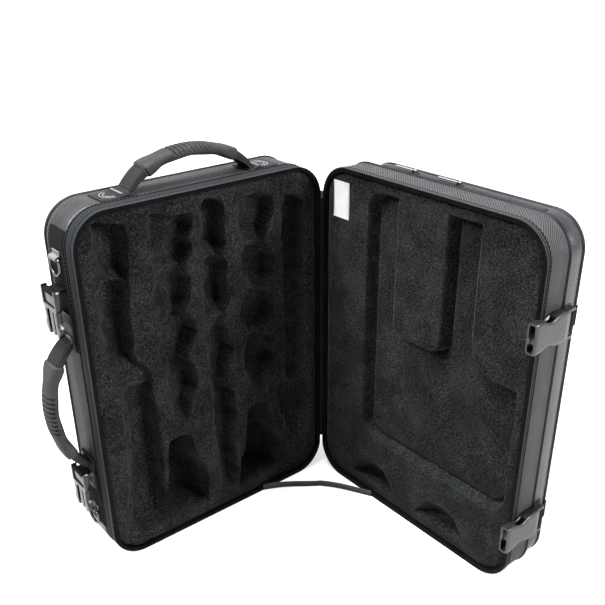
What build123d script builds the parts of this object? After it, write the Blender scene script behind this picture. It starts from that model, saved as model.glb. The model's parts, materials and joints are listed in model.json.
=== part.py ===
"""Double clarinet case: two zipped half shells on a fabric spine, standing open at a right angle.

The spine's hinge line is the vertical line x = 0, y = 0. The base runs from it along -X and is
deep along +Y. The lid runs from it along -Y and is deep along +X. Z is up from the floor, and
place() moves the whole case so that its origin is the centre of its footprint. Millimetres.
"""
import os
from math import asin, cos, degrees, radians, sin

from build123d import *

# ---- the two half shells --------------------------------------------------------------------
CASE_WIDTH = 290.0          # hinge line to free edge
CASE_HEIGHT = 390.0
CORNER_RADIUS = 36.0
SHELL_WALL = 4.0            # board, padding and twill together
RIM_GAP = 0.5               # each rim stops this short of the closing plane
SPINE_GAP = 1.2             # room for the hinge tape beside the hinge line
BASE_DEPTH = 72.0
BASE_BACK_RADIUS = 10.0
LID_DEPTH = 38.0
LID_BACK_RADIUS = 3.0
FIT = 0.3                   # clearance round soft pieces

# ---- bands round the rims ---------------------------------------------------------------------
BASE_BINDING_WIDTH = 5.0
LID_BINDING_WIDTH = 2.0
BAND_THICKNESS = 1.5
BASE_ZIPPER_START = 8.0
BASE_ZIPPER_WIDTH = 10.0
LID_ZIPPER_START = 3.0
LID_ZIPPER_WIDTH = 5.5
PIPING_DIAMETER = 3.0
BASE_PIPING_SETBACK = 12.0  # from the back face to the piping's centre
LID_PIPING_SETBACK = 3.5

# ---- hinge tape and the zipper's free tail ----------------------------------------------------
HINGE_TAPE_THICKNESS = 0.9
HINGE_TAPE_REACH = 26.0
HINGE_TAPE_CORNER_MARGIN = 6.0
TAIL_ROOT = 92.5            # from the hinge line to the last stitch on each shell
TAIL_APEX = 36.0            # the tapes meet this far in front of each shell's plane
TAIL_HEIGHT = 8.0
TAIL_THICKNESS = 1.6
TAIL_LIFT = 0.4
MAIN_SLIDER = (7.0, 9.0, 2.4)        # width, length, height
MAIN_SLIDER_OFFSET = 2.7    # from the hinge line, halfway between the shells
MAIN_PULL = (3.4, 18.0, 0.9)

# ---- linings ----------------------------------------------------------------------------------
LINING_SETBACK = 3.0        # lining face behind the closing plane
CAVITY_DEPTH = 42.0
BELL_DEPTH = 54.0
CAVITY_CORNER = 6.0
FIELD_TOP_MARGIN = 16.0
FIELD_BOTTOM_MARGIN = 14.0
CROSS_RIB = 10.0            # ridge between two cavities of one column
SLOT_WIDTH = 27.0
SLOT_TOP_MARGIN = 32.0
SLOT_LENGTH = 225.0
JOINT_WIDTH = 40.0
BARREL_WIDTH = 25.0
BARREL_LENGTH = 52.0
SECOND_JOINT_WIDTH = 44.0
MOUTHPIECE_WIDTH = 32.0
MOUTHPIECE_LENGTH = 50.0
SPARE_BARREL_LENGTH = 78.0
KEYWORK_BAY_LENGTH = 54.0
BELL_LENGTH = 105.0
BELL_NECK_WIDTH = 26.0
BELL_FLARE_WIDTH = 60.0
BELL_FLARE_LENGTH = 26.0
BELL_OFFSET = 2.0           # bells lie this much nearer the free edge than their columns
BELL_CORNER = 5.0

LID_RECESS_DEPTH = 12.0
RECESS_CORNER = 14.0
RECESS_SPINE_MARGIN = 65.0
RECESS_FREE_MARGIN = 11.0
RECESS_BOTTOM_MARGIN = 80.0
RECESS_SHOULDER = 165.0     # shell top down to the wide recess
CHANNEL_TOP_MARGIN = 12.0
CHANNEL_ONE_WIDTH = 41.0
CHANNEL_TWO_WIDTH = 38.0
CHANNEL_TWO_START = 173.0   # from the lining's spine side
BOWL_RADIUS = 40.0
BOWL_NECK_RADIUS = 18.0
BOWL_LENGTH = 34.0
BOWL_SINK = 23.0            # depth of the bowl below the lining face

LABEL_WIDTH = 24.0
LABEL_HEIGHT = 40.0
LABEL_THICKNESS = 0.4
LABEL_SPINE_MARGIN = 12.0
LABEL_TOP_MARGIN = 11.0

# ---- music pocket on the lid's back ---------------------------------------------------------------
POCKET_DEPTH = 22.0
POCKET_WALL = 1.6
POCKET_PANEL = 2.6
POCKET_EDGE_INSET = 2.0
POCKET_SPINE_INSET = 15.0
POCKET_PIPING = 3.4
POCKET_ZIPPER_WIDTH = 5.0
POCKET_ZIPPER_START = 2.5
POCKET_ZIPPER_MARGIN = 34.0
POCKET_SLIDER = (6.0, 9.0, 2.4)      # width, length, height
POCKET_PULL = (3.4, 27.0, 0.9)
PULL_PIN = 0.6
PULL_EYE = 1.4
SLIDER_ONE_PLACE = 95.0     # from the hinge line
SLIDER_TWO_PLACE = 154.0

# ---- handles ----------------------------------------------------------------------------------
HANDLE_SPAN = 140.0
HANDLE_RISE = 37.0
GRIP_HALF_CHORD = 52.0
GRIP_SAG = 12.0
GRIP_WIDTH = 26.0
GRIP_THICKNESS = 13.0
GRIP_ROUNDING = 5.0
GRIP_RIBS = 9
GRIP_RIB_PITCH = 5.6
GRIP_RIB_GROOVE = 2.0
GRIP_RIB_DEPTH = 1.2
SLEEVE_WIDTH = 24.0
SLEEVE_FOOT = 5.0
ANCHOR_LENGTH = 38.0
ANCHOR_WIDTH = 29.0
ANCHOR_THICKNESS = 1.6
SIDE_HANDLE_DROP = 8.0       # the side handle's middle below the case's middle
EDGE_LINE = 35.0            # depth of the handles, rings and buckle tabs behind the base's rim

# ---- webbing, rings and buckles on the free edges -------------------------------------------------
WEBBING_THICKNESS = 1.6
EDGE_STRAP_WIDTH = 32.0
STRAP_PAST_UPPER_RING = 8.0
STRAP_PAST_LOWER_RING = 16.0
STRAP_OVERRUN = 7.0         # strap beyond each handle anchor's root
RING_WIDTH = 24.0
RING_DROP = 20.0
RING_WIRE = 3.0
RING_CORNER = 2.6
RING_ABOVE_BUCKLE = 30.0
RING_BELOW_BUCKLE = 54.0
TAB_WALL = 1.3              # webbing folded round a bar
PIN_CLEARANCE = 0.08
BUCKLE_WIDTH = 31.0
BUCKLE_WEBBING = 20.0
BUCKLE_BAR = 1.6            # radius of the bars that the webbing folds round
FRAME_SIDE = 3.0
MALE_FRAME = 18.0
MALE_THICKNESS = 6.0
MALE_PRONG_LENGTH = 28.0
MALE_ARM_WIDTH = 3.6
MALE_ARM_BULGE = 2.4
MALE_GUIDE_WIDTH = 3.0
BUCKLE_ABOVE_HANDLE = 57.0   # the upper plug's bar above the side handle's root, clear of its sleeve
BUCKLE_BELOW_HANDLE = 9.0    # the lower plug's bar below the side handle's root
MALE_REACH = 12.0            # from the strap's face out to the buckle's bar
FEMALE_THICKNESS = 10.5
FEMALE_LENGTH = 50.0
FEMALE_SOCKET = 32.0
FEMALE_SKIN = 1.7
FEMALE_WINDOW = 6.0
FEMALE_WAIST = 4.5
FEMALE_EAR_ROOT = 5.0
FEMALE_BAR_PLACE = 38.0     # lid depth of the buckle's bar
FEMALE_UPPER_DROP = 18.0     # sockets below the plugs that they take
FEMALE_LOWER_DROP = 33.0
LID_WEBBING_LENGTH = 17.0   # sewn to the pocket's side behind the buckle's bar

# ---- values that follow ---------------------------------------------------------------------------
PANEL_WIDTH = CASE_WIDTH - SPINE_GAP
BASE = Plane(origin=(-SPINE_GAP, 0, 0), x_dir=(-1, 0, 0), z_dir=(0, 1, 0))
LID = Plane(origin=(0, -CASE_WIDTH, 0), x_dir=(0, 1, 0), z_dir=(1, 0, 0))
LINING_INSET = SHELL_WALL + FIT
LINING_WIDTH = PANEL_WIDTH - 2 * LINING_INSET
LINING_TOP = CASE_HEIGHT - LINING_INSET
STRAP_FACE = CASE_WIDTH + WEBBING_THICKNESS
SIDE_HANDLE_HEIGHT = CASE_HEIGHT / 2 - SIDE_HANDLE_DROP
MALE_UPPER_HEIGHT = SIDE_HANDLE_HEIGHT + HANDLE_SPAN / 2 + BUCKLE_ABOVE_HANDLE
MALE_LOWER_HEIGHT = SIDE_HANDLE_HEIGHT - HANDLE_SPAN / 2 - BUCKLE_BELOW_HANDLE
FEMALE_UPPER_HEIGHT = MALE_UPPER_HEIGHT - FEMALE_UPPER_DROP
FEMALE_LOWER_HEIGHT = MALE_LOWER_HEIGHT - FEMALE_LOWER_DROP
RING_UPPER_HEIGHT = MALE_UPPER_HEIGHT + RING_ABOVE_BUCKLE
RING_LOWER_HEIGHT = MALE_LOWER_HEIGHT - RING_BELOW_BUCKLE
TOP_WALL = Plane(origin=(-SPINE_GAP - PANEL_WIDTH / 2, EDGE_LINE, CASE_HEIGHT), x_dir=(1, 0, 0),
                 z_dir=(0, 0, 1))
SIDE_WALL = Plane(origin=(-STRAP_FACE, EDGE_LINE, SIDE_HANDLE_HEIGHT), x_dir=(0, 0, 1),
                  z_dir=(-1, 0, 0))
POCKET_BACK = LID_DEPTH + POCKET_DEPTH


# ---- panels in a half shell's own frame: x across, y up, z back from the closing plane --------------
def slab(front, back, inset=0.0):
    """A block with the case's rounded outline, drawn in by inset all round."""
    outline = RectangleRounded(PANEL_WIDTH - 2 * inset, CASE_HEIGHT - 2 * inset, CORNER_RADIUS - inset)
    return Pos(PANEL_WIDTH / 2, CASE_HEIGHT / 2, front) * extrude(outline, back - front)


def band(front, back, thickness, inset=0.0):
    """A closed band that follows the outline, thickness deep."""
    return slab(front, back, inset) - slab(front, back, inset + thickness)


def piping(centre, diameter):
    """A round cord laid flush in the wall, as a band with rounded edges."""
    ring = band(centre - diameter / 2, centre + diameter / 2, diameter)
    return fillet(ring.edges(), 0.45 * diameter)


def half_shell(depth, back_radius, binding, zipper_start, zipper_width, piping_setback):
    """One tray-shaped shell behind its rim binding, with grooves for its zipper and piping."""
    front = RIM_GAP + binding
    tray = slab(front, depth)
    tray = fillet(tray.faces().sort_by(Axis.Z)[-1].edges(), back_radius)
    tray -= slab(front, depth - SHELL_WALL, SHELL_WALL)
    groove_front = max(zipper_start, front)
    tray -= band(groove_front, zipper_start + zipper_width, BAND_THICKNESS)
    centre = depth - piping_setback
    tray -= band(centre - PIPING_DIAMETER / 2, centre + PIPING_DIAMETER / 2, PIPING_DIAMETER)
    return tray


def outline_bands(depth, binding, zipper_start, zipper_width, piping_setback):
    """The rim binding, the zipper tape with its coil, and the piping of one shell."""
    rim = band(RIM_GAP, RIM_GAP + binding, SHELL_WALL)
    tape = band(max(zipper_start, RIM_GAP + binding), zipper_start + zipper_width, BAND_THICKNESS)
    cord = piping(depth - piping_setback, PIPING_DIAMETER)
    return rim, tape, cord


# ---- linings --------------------------------------------------------------------------------------
def pocket_cut(left, right, bottom, top, depth, radius=CAVITY_CORNER):
    """A rounded pocket sunk from the lining's face."""
    centre = Pos((left + right) / 2, (bottom + top) / 2, LINING_SETBACK)
    return centre * extrude(RectangleRounded(right - left, top - bottom, radius), depth)


def bell_cut(centre, bottom):
    """The tent-shaped pocket of a bell, flare down."""
    neck = BELL_NECK_WIDTH / 2
    flare = BELL_FLARE_WIDTH / 2
    points = [(-neck, BELL_LENGTH), (neck, BELL_LENGTH), (flare, BELL_FLARE_LENGTH), (flare, 0),
              (-flare, 0), (-flare, BELL_FLARE_LENGTH)]
    outline = make_face(Polyline(*points, close=True))
    outline = fillet(outline.vertices(), BELL_CORNER)
    return Pos(centre, bottom, LINING_SETBACK) * extrude(outline, BELL_DEPTH)


def cavity_columns():
    """Left and right edge of each cavity column, spine side first, with even ribs between them."""
    widths = [SLOT_WIDTH, JOINT_WIDTH, BARREL_WIDTH, SECOND_JOINT_WIDTH, MOUTHPIECE_WIDTH]
    rib = (LINING_WIDTH - sum(widths)) / (len(widths) + 1)
    edges = []
    left = LINING_INSET + rib
    for width in widths:
        edges.append((left, left + width))
        left += width + rib
    return edges


def bell_centres():
    """Where the two bells lie across the case, measured from the spine wall."""
    columns = cavity_columns()
    return [sum(columns[index]) / 2 + BELL_OFFSET for index in (1, 3)]


def base_cavities():
    """Every pocket of the base lining, column by column from the spine."""
    slot, joint, barrel, second, mouthpiece = cavity_columns()
    top = LINING_TOP - FIELD_TOP_MARGIN
    bottom = LINING_INSET + FIELD_BOTTOM_MARGIN
    bell_top = bottom + BELL_LENGTH
    slot_top = LINING_TOP - SLOT_TOP_MARGIN
    cuts = [pocket_cut(*slot, slot_top - SLOT_LENGTH, slot_top, CAVITY_DEPTH)]
    cuts.append(pocket_cut(*joint, bell_top + CROSS_RIB, top, CAVITY_DEPTH))
    barrel_end = top - BARREL_LENGTH
    cuts.append(pocket_cut(*barrel, barrel_end, top, CAVITY_DEPTH))
    second_barrel_end = barrel_end - CROSS_RIB - BARREL_LENGTH
    cuts.append(pocket_cut(*barrel, second_barrel_end, barrel_end - CROSS_RIB, CAVITY_DEPTH))
    cuts.append(pocket_cut(*barrel, bottom, second_barrel_end - CROSS_RIB, CAVITY_DEPTH))
    bay_end = top - KEYWORK_BAY_LENGTH
    cuts.append(pocket_cut(*second, bay_end, top, CAVITY_DEPTH))
    cuts.append(pocket_cut(*second, bell_top + CROSS_RIB, bay_end - CROSS_RIB, CAVITY_DEPTH))
    mouthpiece_end = top - MOUTHPIECE_LENGTH
    cuts.append(pocket_cut(*mouthpiece, mouthpiece_end, top, CAVITY_DEPTH))
    spare_end = mouthpiece_end - CROSS_RIB - SPARE_BARREL_LENGTH
    cuts.append(pocket_cut(*mouthpiece, spare_end, mouthpiece_end - CROSS_RIB, CAVITY_DEPTH))
    cuts.append(pocket_cut(*mouthpiece, bottom, spare_end - CROSS_RIB, CAVITY_DEPTH))
    cuts += [bell_cut(centre, bottom) for centre in bell_centres()]
    return cuts


def base_lining():
    """The fitted foam block that fills the base."""
    block = slab(LINING_SETBACK, BASE_DEPTH - SHELL_WALL - FIT, LINING_INSET)
    for cut in base_cavities():
        block -= cut
    return block


def lid_recess():
    """The shallow stepped recess: two channels that run down into one wide bay."""
    spine = PANEL_WIDTH - LINING_INSET
    bay_right = spine - RECESS_SPINE_MARGIN
    bay_left = LINING_INSET + RECESS_FREE_MARGIN
    shoulder = CASE_HEIGHT - RECESS_SHOULDER
    top = LINING_TOP - CHANNEL_TOP_MARGIN
    channel_two_right = spine - CHANNEL_TWO_START
    rectangles = [(bay_left, bay_right, RECESS_BOTTOM_MARGIN, shoulder),
                  (bay_right - CHANNEL_ONE_WIDTH, bay_right, RECESS_BOTTOM_MARGIN, top),
                  (channel_two_right - CHANNEL_TWO_WIDTH, channel_two_right, RECESS_BOTTOM_MARGIN, top)]
    outline = None
    for left, right, bottom, high in rectangles:
        piece = Pos((left + right) / 2, (bottom + high) / 2) * Rectangle(right - left, high - bottom)
        outline = piece if outline is None else outline + piece
    outline = fillet(outline.vertices(), RECESS_CORNER)
    return Pos(0, 0, LINING_SETBACK) * extrude(outline, LID_RECESS_DEPTH)


def bowl_cut(distance):
    """Room for the part of a bell's flare that reaches into the lid."""
    bottom = LINING_INSET + FIELD_BOTTOM_MARGIN
    cone = Cone(BOWL_RADIUS, BOWL_NECK_RADIUS, BOWL_LENGTH)
    upright = Rot(-90, 0, 0) * cone
    axis_depth = LINING_SETBACK + BOWL_SINK - BOWL_RADIUS
    return Pos(PANEL_WIDTH - distance, bottom + BOWL_LENGTH / 2, axis_depth) * upright


def lid_lining():
    """The foam block that fills the lid."""
    block = slab(LINING_SETBACK, LID_DEPTH - SHELL_WALL - FIT, LINING_INSET)
    block -= lid_recess()
    for distance in bell_centres():
        block -= bowl_cut(distance)
    return block


def lining_label():
    """The bare name patch sewn to the lid lining beside the spine."""
    right = PANEL_WIDTH - LINING_INSET - LABEL_SPINE_MARGIN
    top = LINING_TOP - LABEL_TOP_MARGIN
    patch = Box(LABEL_WIDTH, LABEL_HEIGHT, LABEL_THICKNESS)
    return Pos(right - LABEL_WIDTH / 2, top - LABEL_HEIGHT / 2, LINING_SETBACK - LABEL_THICKNESS / 2) * patch


# ---- music pocket -------------------------------------------------------------------------------------
def pocket_slab(front, back, inset=0.0):
    """A block with the pocket's outline: set in from the shell's edges, and further from the spine."""
    width = PANEL_WIDTH - POCKET_EDGE_INSET - POCKET_SPINE_INSET
    height = CASE_HEIGHT - 2 * POCKET_EDGE_INSET
    radius = CORNER_RADIUS - POCKET_EDGE_INSET - inset
    outline = RectangleRounded(width - 2 * inset, height - 2 * inset, radius)
    return Pos(POCKET_EDGE_INSET + width / 2, CASE_HEIGHT / 2, front) * extrude(outline, back - front)


def pocket_zipper_run(thickness, side_clearance=0.0):
    """The straight zipper strip in the pocket's top wall."""
    left = POCKET_EDGE_INSET + POCKET_ZIPPER_MARGIN + side_clearance
    right = PANEL_WIDTH - POCKET_SPINE_INSET - POCKET_ZIPPER_MARGIN - side_clearance
    centre = LID_DEPTH + POCKET_ZIPPER_START + POCKET_ZIPPER_WIDTH / 2
    strip = Box(right - left, thickness, POCKET_ZIPPER_WIDTH - 2 * side_clearance)
    height = CASE_HEIGHT - POCKET_EDGE_INSET - thickness / 2
    return Pos((left + right) / 2, height, centre) * strip


def music_pocket():
    """The pocket's gusset, panel, piping and zipper strip."""
    panel_front = POCKET_BACK - POCKET_PANEL
    gusset = pocket_slab(LID_DEPTH, panel_front) - pocket_slab(LID_DEPTH, panel_front, POCKET_WALL)
    gusset -= pocket_zipper_run(2 * POCKET_WALL)
    cord = pocket_slab(panel_front, POCKET_BACK) - pocket_slab(panel_front, POCKET_BACK, POCKET_PIPING)
    panel = pocket_slab(panel_front, POCKET_BACK, POCKET_PIPING)
    zipper = pocket_zipper_run(POCKET_WALL)
    return gusset, panel, cord, zipper


def slider_and_pull(size, pull_size):
    """A zipper slider on the Z = 0 plane, with its pull lying above it towards +Y."""
    width, length, height = size
    pull_width, pull_length, pull_thickness = pull_size
    pin_height = height + PULL_EYE + FIT / 2
    cheek_width = (width - pull_width) / 2 - PIN_CLEARANCE
    cheek_top = pin_height + PULL_PIN
    cheek = Box(cheek_width, 3 * PULL_PIN, cheek_top - height + 2 * FIT)
    cheek = Pos(0, 0, (height + cheek_top) / 2 - FIT) * cheek
    block = Pos(0, 0, height / 2) * fillet(Box(width, length, height).edges(), 0.25 * height)
    pin = Pos(0, 0, pin_height) * Cylinder(PULL_PIN, width - cheek_width).rotate(Axis.Y, 90)
    slider = block + pin
    for side in (-1, 1):
        slider += Pos(side * (width - cheek_width) / 2, 0, 0) * cheek
    eye = Cylinder(PULL_EYE, pull_width).rotate(Axis.Y, 90)
    tongue = Pos(0, pull_length / 2, 0) * Box(pull_width, pull_length, pull_thickness)
    bore = Cylinder(PULL_PIN + PIN_CLEARANCE, 2 * pull_width).rotate(Axis.Y, 90)
    pull = Pos(0, 0, pin_height) * (eye + tongue - bore)
    return slider, pull


def pocket_slider_and_pull(distance):
    """A slider on the pocket's top edge, this far from the hinge line."""
    depth = LID_DEPTH + POCKET_ZIPPER_START + POCKET_ZIPPER_WIDTH / 2
    at = Pos(depth, -distance, CASE_HEIGHT - POCKET_EDGE_INSET + FIT)
    slider, pull = slider_and_pull(POCKET_SLIDER, POCKET_PULL)
    return at * slider, at * pull


# ---- spine --------------------------------------------------------------------------------------------
def hinge_tape():
    """The spine tape: one leaf on each shell's spine wall, folded at the hinge line."""
    bottom = CORNER_RADIUS + HINGE_TAPE_CORNER_MARGIN
    height = CASE_HEIGHT - 2 * bottom
    start = -SPINE_GAP
    leaf = HINGE_TAPE_REACH + SPINE_GAP
    base_leaf = Rectangle(HINGE_TAPE_THICKNESS, leaf, align=(Align.MIN, Align.MIN))
    lid_leaf = Rectangle(leaf, HINGE_TAPE_THICKNESS, align=(Align.MIN, Align.MIN))
    return Pos(start, start, bottom) * extrude(base_leaf + lid_leaf, height)


def zipper_tail():
    """The zipper's two free tape ends, joined at their tips and standing on edge above the floor."""
    root = RIM_GAP - TAIL_THICKNESS / 2
    route = Polyline((-TAIL_ROOT, root), (-TAIL_APEX, -TAIL_APEX), (root, -TAIL_ROOT))
    return Pos(0, 0, TAIL_LIFT) * extrude(trace(route, TAIL_THICKNESS), TAIL_HEIGHT)


def main_slider_and_pull():
    """The main zipper's slider parked above the hinge tape, its pull hanging outside the spine."""
    bottom = CASE_HEIGHT - CORNER_RADIUS - HINGE_TAPE_CORNER_MARGIN + FIT
    side = MAIN_SLIDER_OFFSET * cos(radians(45))
    seat = Plane(origin=(side, side, bottom + MAIN_SLIDER[1] / 2), x_dir=(1, -1, 0), z_dir=(1, 1, 0))
    slider, pull = slider_and_pull(MAIN_SLIDER, MAIN_PULL)
    return seat * slider, seat * pull


# ---- handles, in a wall's frame: x along the span, y across, z out of the wall ------------------------
def grip_arc():
    """Radius, centre height and half angle of the grip's centre line."""
    radius = (GRIP_HALF_CHORD ** 2 + GRIP_SAG ** 2) / (2 * GRIP_SAG)
    centre = HANDLE_RISE - GRIP_THICKNESS / 2 - radius
    return radius, centre, degrees(asin(GRIP_HALF_CHORD / radius))


def handle_grip():
    """The moulded rubber grip with finger ribs on its back."""
    radius, centre, half = grip_arc()
    section = Plane.YZ * RectangleRounded(GRIP_WIDTH, GRIP_THICKNESS, GRIP_ROUNDING)
    start = Pos(0, 0, centre) * Rot(0, -half, 0) * Pos(0, 0, radius) * section
    grip = revolve(start, axis=Axis((0, 0, centre), (0, 1, 0)), revolution_arc=2 * half)
    outer = radius + GRIP_THICKNESS / 2
    for index in range(GRIP_RIBS):
        angle = degrees((index - (GRIP_RIBS - 1) / 2) * GRIP_RIB_PITCH / outer)
        groove = Box(GRIP_RIB_GROOVE, GRIP_WIDTH - GRIP_ROUNDING, 2 * GRIP_RIB_DEPTH)
        grip -= Pos(0, 0, centre) * Rot(0, angle, 0) * Pos(0, 0, outer) * groove
    return grip


def handle_sleeves():
    """The two woven sleeves between the grip's ends and the anchors."""
    radius, centre, half = grip_arc()
    turn = radians(half)
    ends = []
    for offset in (-GRIP_THICKNESS / 2 + 1, GRIP_THICKNESS / 2 - 1):
        reach = radius + offset
        ends.append((reach * sin(turn), centre + reach * cos(turn)))
    foot = ANCHOR_THICKNESS + FIT
    inner = (HANDLE_SPAN / 2 - SLEEVE_FOOT, foot)
    outer = (HANDLE_SPAN / 2 + SLEEVE_FOOT, foot)
    side = make_face(Polyline(ends[0], inner, outer, ends[1], close=True))
    sleeve = extrude(Plane.XZ * side, SLEEVE_WIDTH / 2, both=True)
    return sleeve + mirror(sleeve, Plane.YZ)


def handle_anchors():
    """The two stitched patches that hold the sleeves to the case."""
    start = HANDLE_SPAN / 2 - SLEEVE_FOOT - 1
    outline = RectangleRounded(ANCHOR_LENGTH, ANCHOR_WIDTH, 3)
    patch = Pos(start + ANCHOR_LENGTH / 2, 0, 0) * extrude(outline, ANCHOR_THICKNESS)
    return patch + mirror(patch, Plane.YZ)


# ---- webbing, rings and buckles -------------------------------------------------------------------------
def edge_strip(bottom, top):
    """A webbing strip sewn flat on the base's free edge."""
    strip = Box(WEBBING_THICKNESS, EDGE_STRAP_WIDTH, top - bottom)
    return Pos(-CASE_WIDTH - WEBBING_THICKNESS / 2, EDGE_LINE, (bottom + top) / 2) * strip


def folded_tab(bar_radius, width, reach):
    """Webbing folded round a bar on the Y axis, with its tail running along +X to the wall."""
    outside = bar_radius + PIN_CLEARANCE + TAB_WALL
    eye = Cylinder(outside, width).rotate(Axis.X, 90)
    tail = Pos(reach / 2, 0, 0) * Box(reach, width, 2 * TAB_WALL)
    bore = Cylinder(bar_radius + PIN_CLEARANCE, 2 * width).rotate(Axis.X, 90)
    return eye + tail - bore


def ring_reach():
    """How far a ring's bar stands out from the strap."""
    return RING_WIRE / 2 + PIN_CLEARANCE + TAB_WALL + FIT


def ring_tab(height):
    """The folded tab that carries one ring, sewn to the strap above it."""
    outside = RING_WIRE / 2 + PIN_CLEARANCE + TAB_WALL
    width = RING_WIDTH - RING_WIRE - 2 * RING_CORNER - 2 * FIT
    eye = Cylinder(outside, width).rotate(Axis.X, 90)
    bore = Cylinder(RING_WIRE / 2 + PIN_CLEARANCE, 2 * width).rotate(Axis.X, 90)
    reach = ring_reach()
    seat = Pos(reach / 2, 0, outside) * Box(reach, width, 2 * outside)
    tab = eye + seat - bore
    return Pos(-STRAP_FACE - reach, EDGE_LINE, height) * tab


def d_ring(height):
    """A wire D hanging from its straight bar."""
    half = (RING_WIDTH - RING_WIRE) / 2
    drop = RING_DROP - RING_WIRE - half
    inner = half - RING_CORNER
    outline = [Line((-inner, 0), (inner, 0)),
               CenterArc((inner, -RING_CORNER), RING_CORNER, 0, 90),
               Line((half, -RING_CORNER), (half, -drop)),
               CenterArc((0, -drop), half, 180, 180),
               Line((-half, -drop), (-half, -RING_CORNER)),
               CenterArc((-inner, -RING_CORNER), RING_CORNER, 90, 90)]
    path = Plane.YZ * Wire(outline)
    ring = sweep(Plane.XZ * Circle(RING_WIRE / 2), path=path)
    return Pos(-STRAP_FACE - ring_reach(), EDGE_LINE, height) * ring


def male_buckle(height):
    """The plug half: webbing bar, frame, guide and two sprung arms, hanging prongs down."""
    inner = BUCKLE_WIDTH - 2 * FRAME_SIDE
    bar = Cylinder(BUCKLE_BAR, BUCKLE_WIDTH - FRAME_SIDE).rotate(Axis.X, 90)
    top = BUCKLE_BAR + TAB_WALL
    plate = Pos(0, 0, (top - MALE_FRAME) / 2) * Box(MALE_THICKNESS, BUCKLE_WIDTH, top + MALE_FRAME)
    window_bottom = -MALE_FRAME + FRAME_SIDE
    window = Box(2 * MALE_THICKNESS, inner, 2 * top - window_bottom)
    window = Pos(0, 0, (window_bottom + 2 * top) / 2) * window
    frame = fillet(plate.edges().filter_by(Axis.X), 2.0) - window + bar
    arm_z = -MALE_FRAME - MALE_PRONG_LENGTH / 2
    arm_y = BUCKLE_WIDTH / 2 - MALE_ARM_BULGE - MALE_ARM_WIDTH / 2 - 1
    arm = Pos(0, arm_y, arm_z) * Box(MALE_THICKNESS, MALE_ARM_WIDTH, MALE_PRONG_LENGTH)
    head_z = -MALE_FRAME - 0.72 * MALE_PRONG_LENGTH
    head = Cylinder(MALE_ARM_WIDTH / 2 + MALE_ARM_BULGE, MALE_THICKNESS).rotate(Axis.Y, 90)
    arm += Pos(0, arm_y, head_z) * head
    guide = Pos(0, 0, arm_z) * Box(0.7 * MALE_THICKNESS, MALE_GUIDE_WIDTH, MALE_PRONG_LENGTH)
    plug = frame + arm + mirror(arm, Plane.XZ) + guide
    return Pos(-STRAP_FACE - MALE_REACH, EDGE_LINE, height) * plug


def male_tab(height, seat=0.0):
    """The webbing tab that the plug half hangs from, sewn to the strap or to a patch on it."""
    tab = folded_tab(BUCKLE_BAR, BUCKLE_WEBBING, MALE_REACH - seat)
    return Pos(-STRAP_FACE - MALE_REACH, EDGE_LINE, height) * tab


def female_axis_depth():
    """How far the socket half's bar stands out from the lid's free edge."""
    return FEMALE_THICKNESS / 2 + FIT


def female_buckle(height):
    """The socket half: a hollow waisted body, open towards the rim, with a bar at its back end."""
    body_back = -BUCKLE_BAR - TAB_WALL - FIT - 1.5
    body_front = body_back - FEMALE_LENGTH
    outline = RectangleRounded(FEMALE_LENGTH, BUCKLE_WIDTH, 3)
    body = Pos((body_back + body_front) / 2, 0, 0) * (Plane.XZ * outline)
    body = extrude(body, FEMALE_THICKNESS / 2, both=True)
    socket = Box(2 * FEMALE_SOCKET, FEMALE_THICKNESS - 2 * FEMALE_SKIN, BUCKLE_WIDTH - 4 * FEMALE_SKIN)
    body -= Pos(body_front, 0, 0) * socket
    waist = Cylinder(2 * FEMALE_WINDOW, 2 * FEMALE_THICKNESS).rotate(Axis.X, 90)
    waist_reach = BUCKLE_WIDTH / 2 + 2 * FEMALE_WINDOW - FEMALE_WAIST
    for side in (-1, 1):
        body -= Pos((body_back + body_front) / 2, 0, side * waist_reach) * waist
    ear_front = body_back - FEMALE_EAR_ROOT
    ear_length = BUCKLE_BAR + TAB_WALL - ear_front
    ear = Box(ear_length, 0.7 * FEMALE_THICKNESS, FRAME_SIDE)
    for side in (-1, 1):
        body += Pos(ear_front + ear_length / 2, 0, side * (BUCKLE_WIDTH - FRAME_SIDE) / 2) * ear
    body += Cylinder(BUCKLE_BAR, BUCKLE_WIDTH - FRAME_SIDE)
    return Pos(FEMALE_BAR_PLACE, -CASE_WIDTH - female_axis_depth(), height) * body


def lid_webbing(height):
    """The webbing that holds the socket half: folded round its bar and sewn back along the pocket."""
    outside = BUCKLE_BAR + PIN_CLEARANCE + TAB_WALL
    reach = female_axis_depth()
    eye = Cylinder(outside, BUCKLE_WEBBING)
    riser = Pos(-outside / 2, reach / 2, 0) * Box(outside, reach, BUCKLE_WEBBING)
    bore = Cylinder(BUCKLE_BAR + PIN_CLEARANCE, 2 * BUCKLE_WEBBING)
    thickness = POCKET_EDGE_INSET + WEBBING_THICKNESS
    strip = Box(LID_WEBBING_LENGTH, thickness, BUCKLE_WEBBING)
    strip_place = LID_DEPTH - FEMALE_BAR_PLACE + LID_WEBBING_LENGTH / 2
    strip = Pos(strip_place, reach - WEBBING_THICKNESS + thickness / 2, 0) * strip
    webbing = eye + riser - bore + strip
    return Pos(FEMALE_BAR_PLACE, -CASE_WIDTH - reach, height) * webbing


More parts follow.
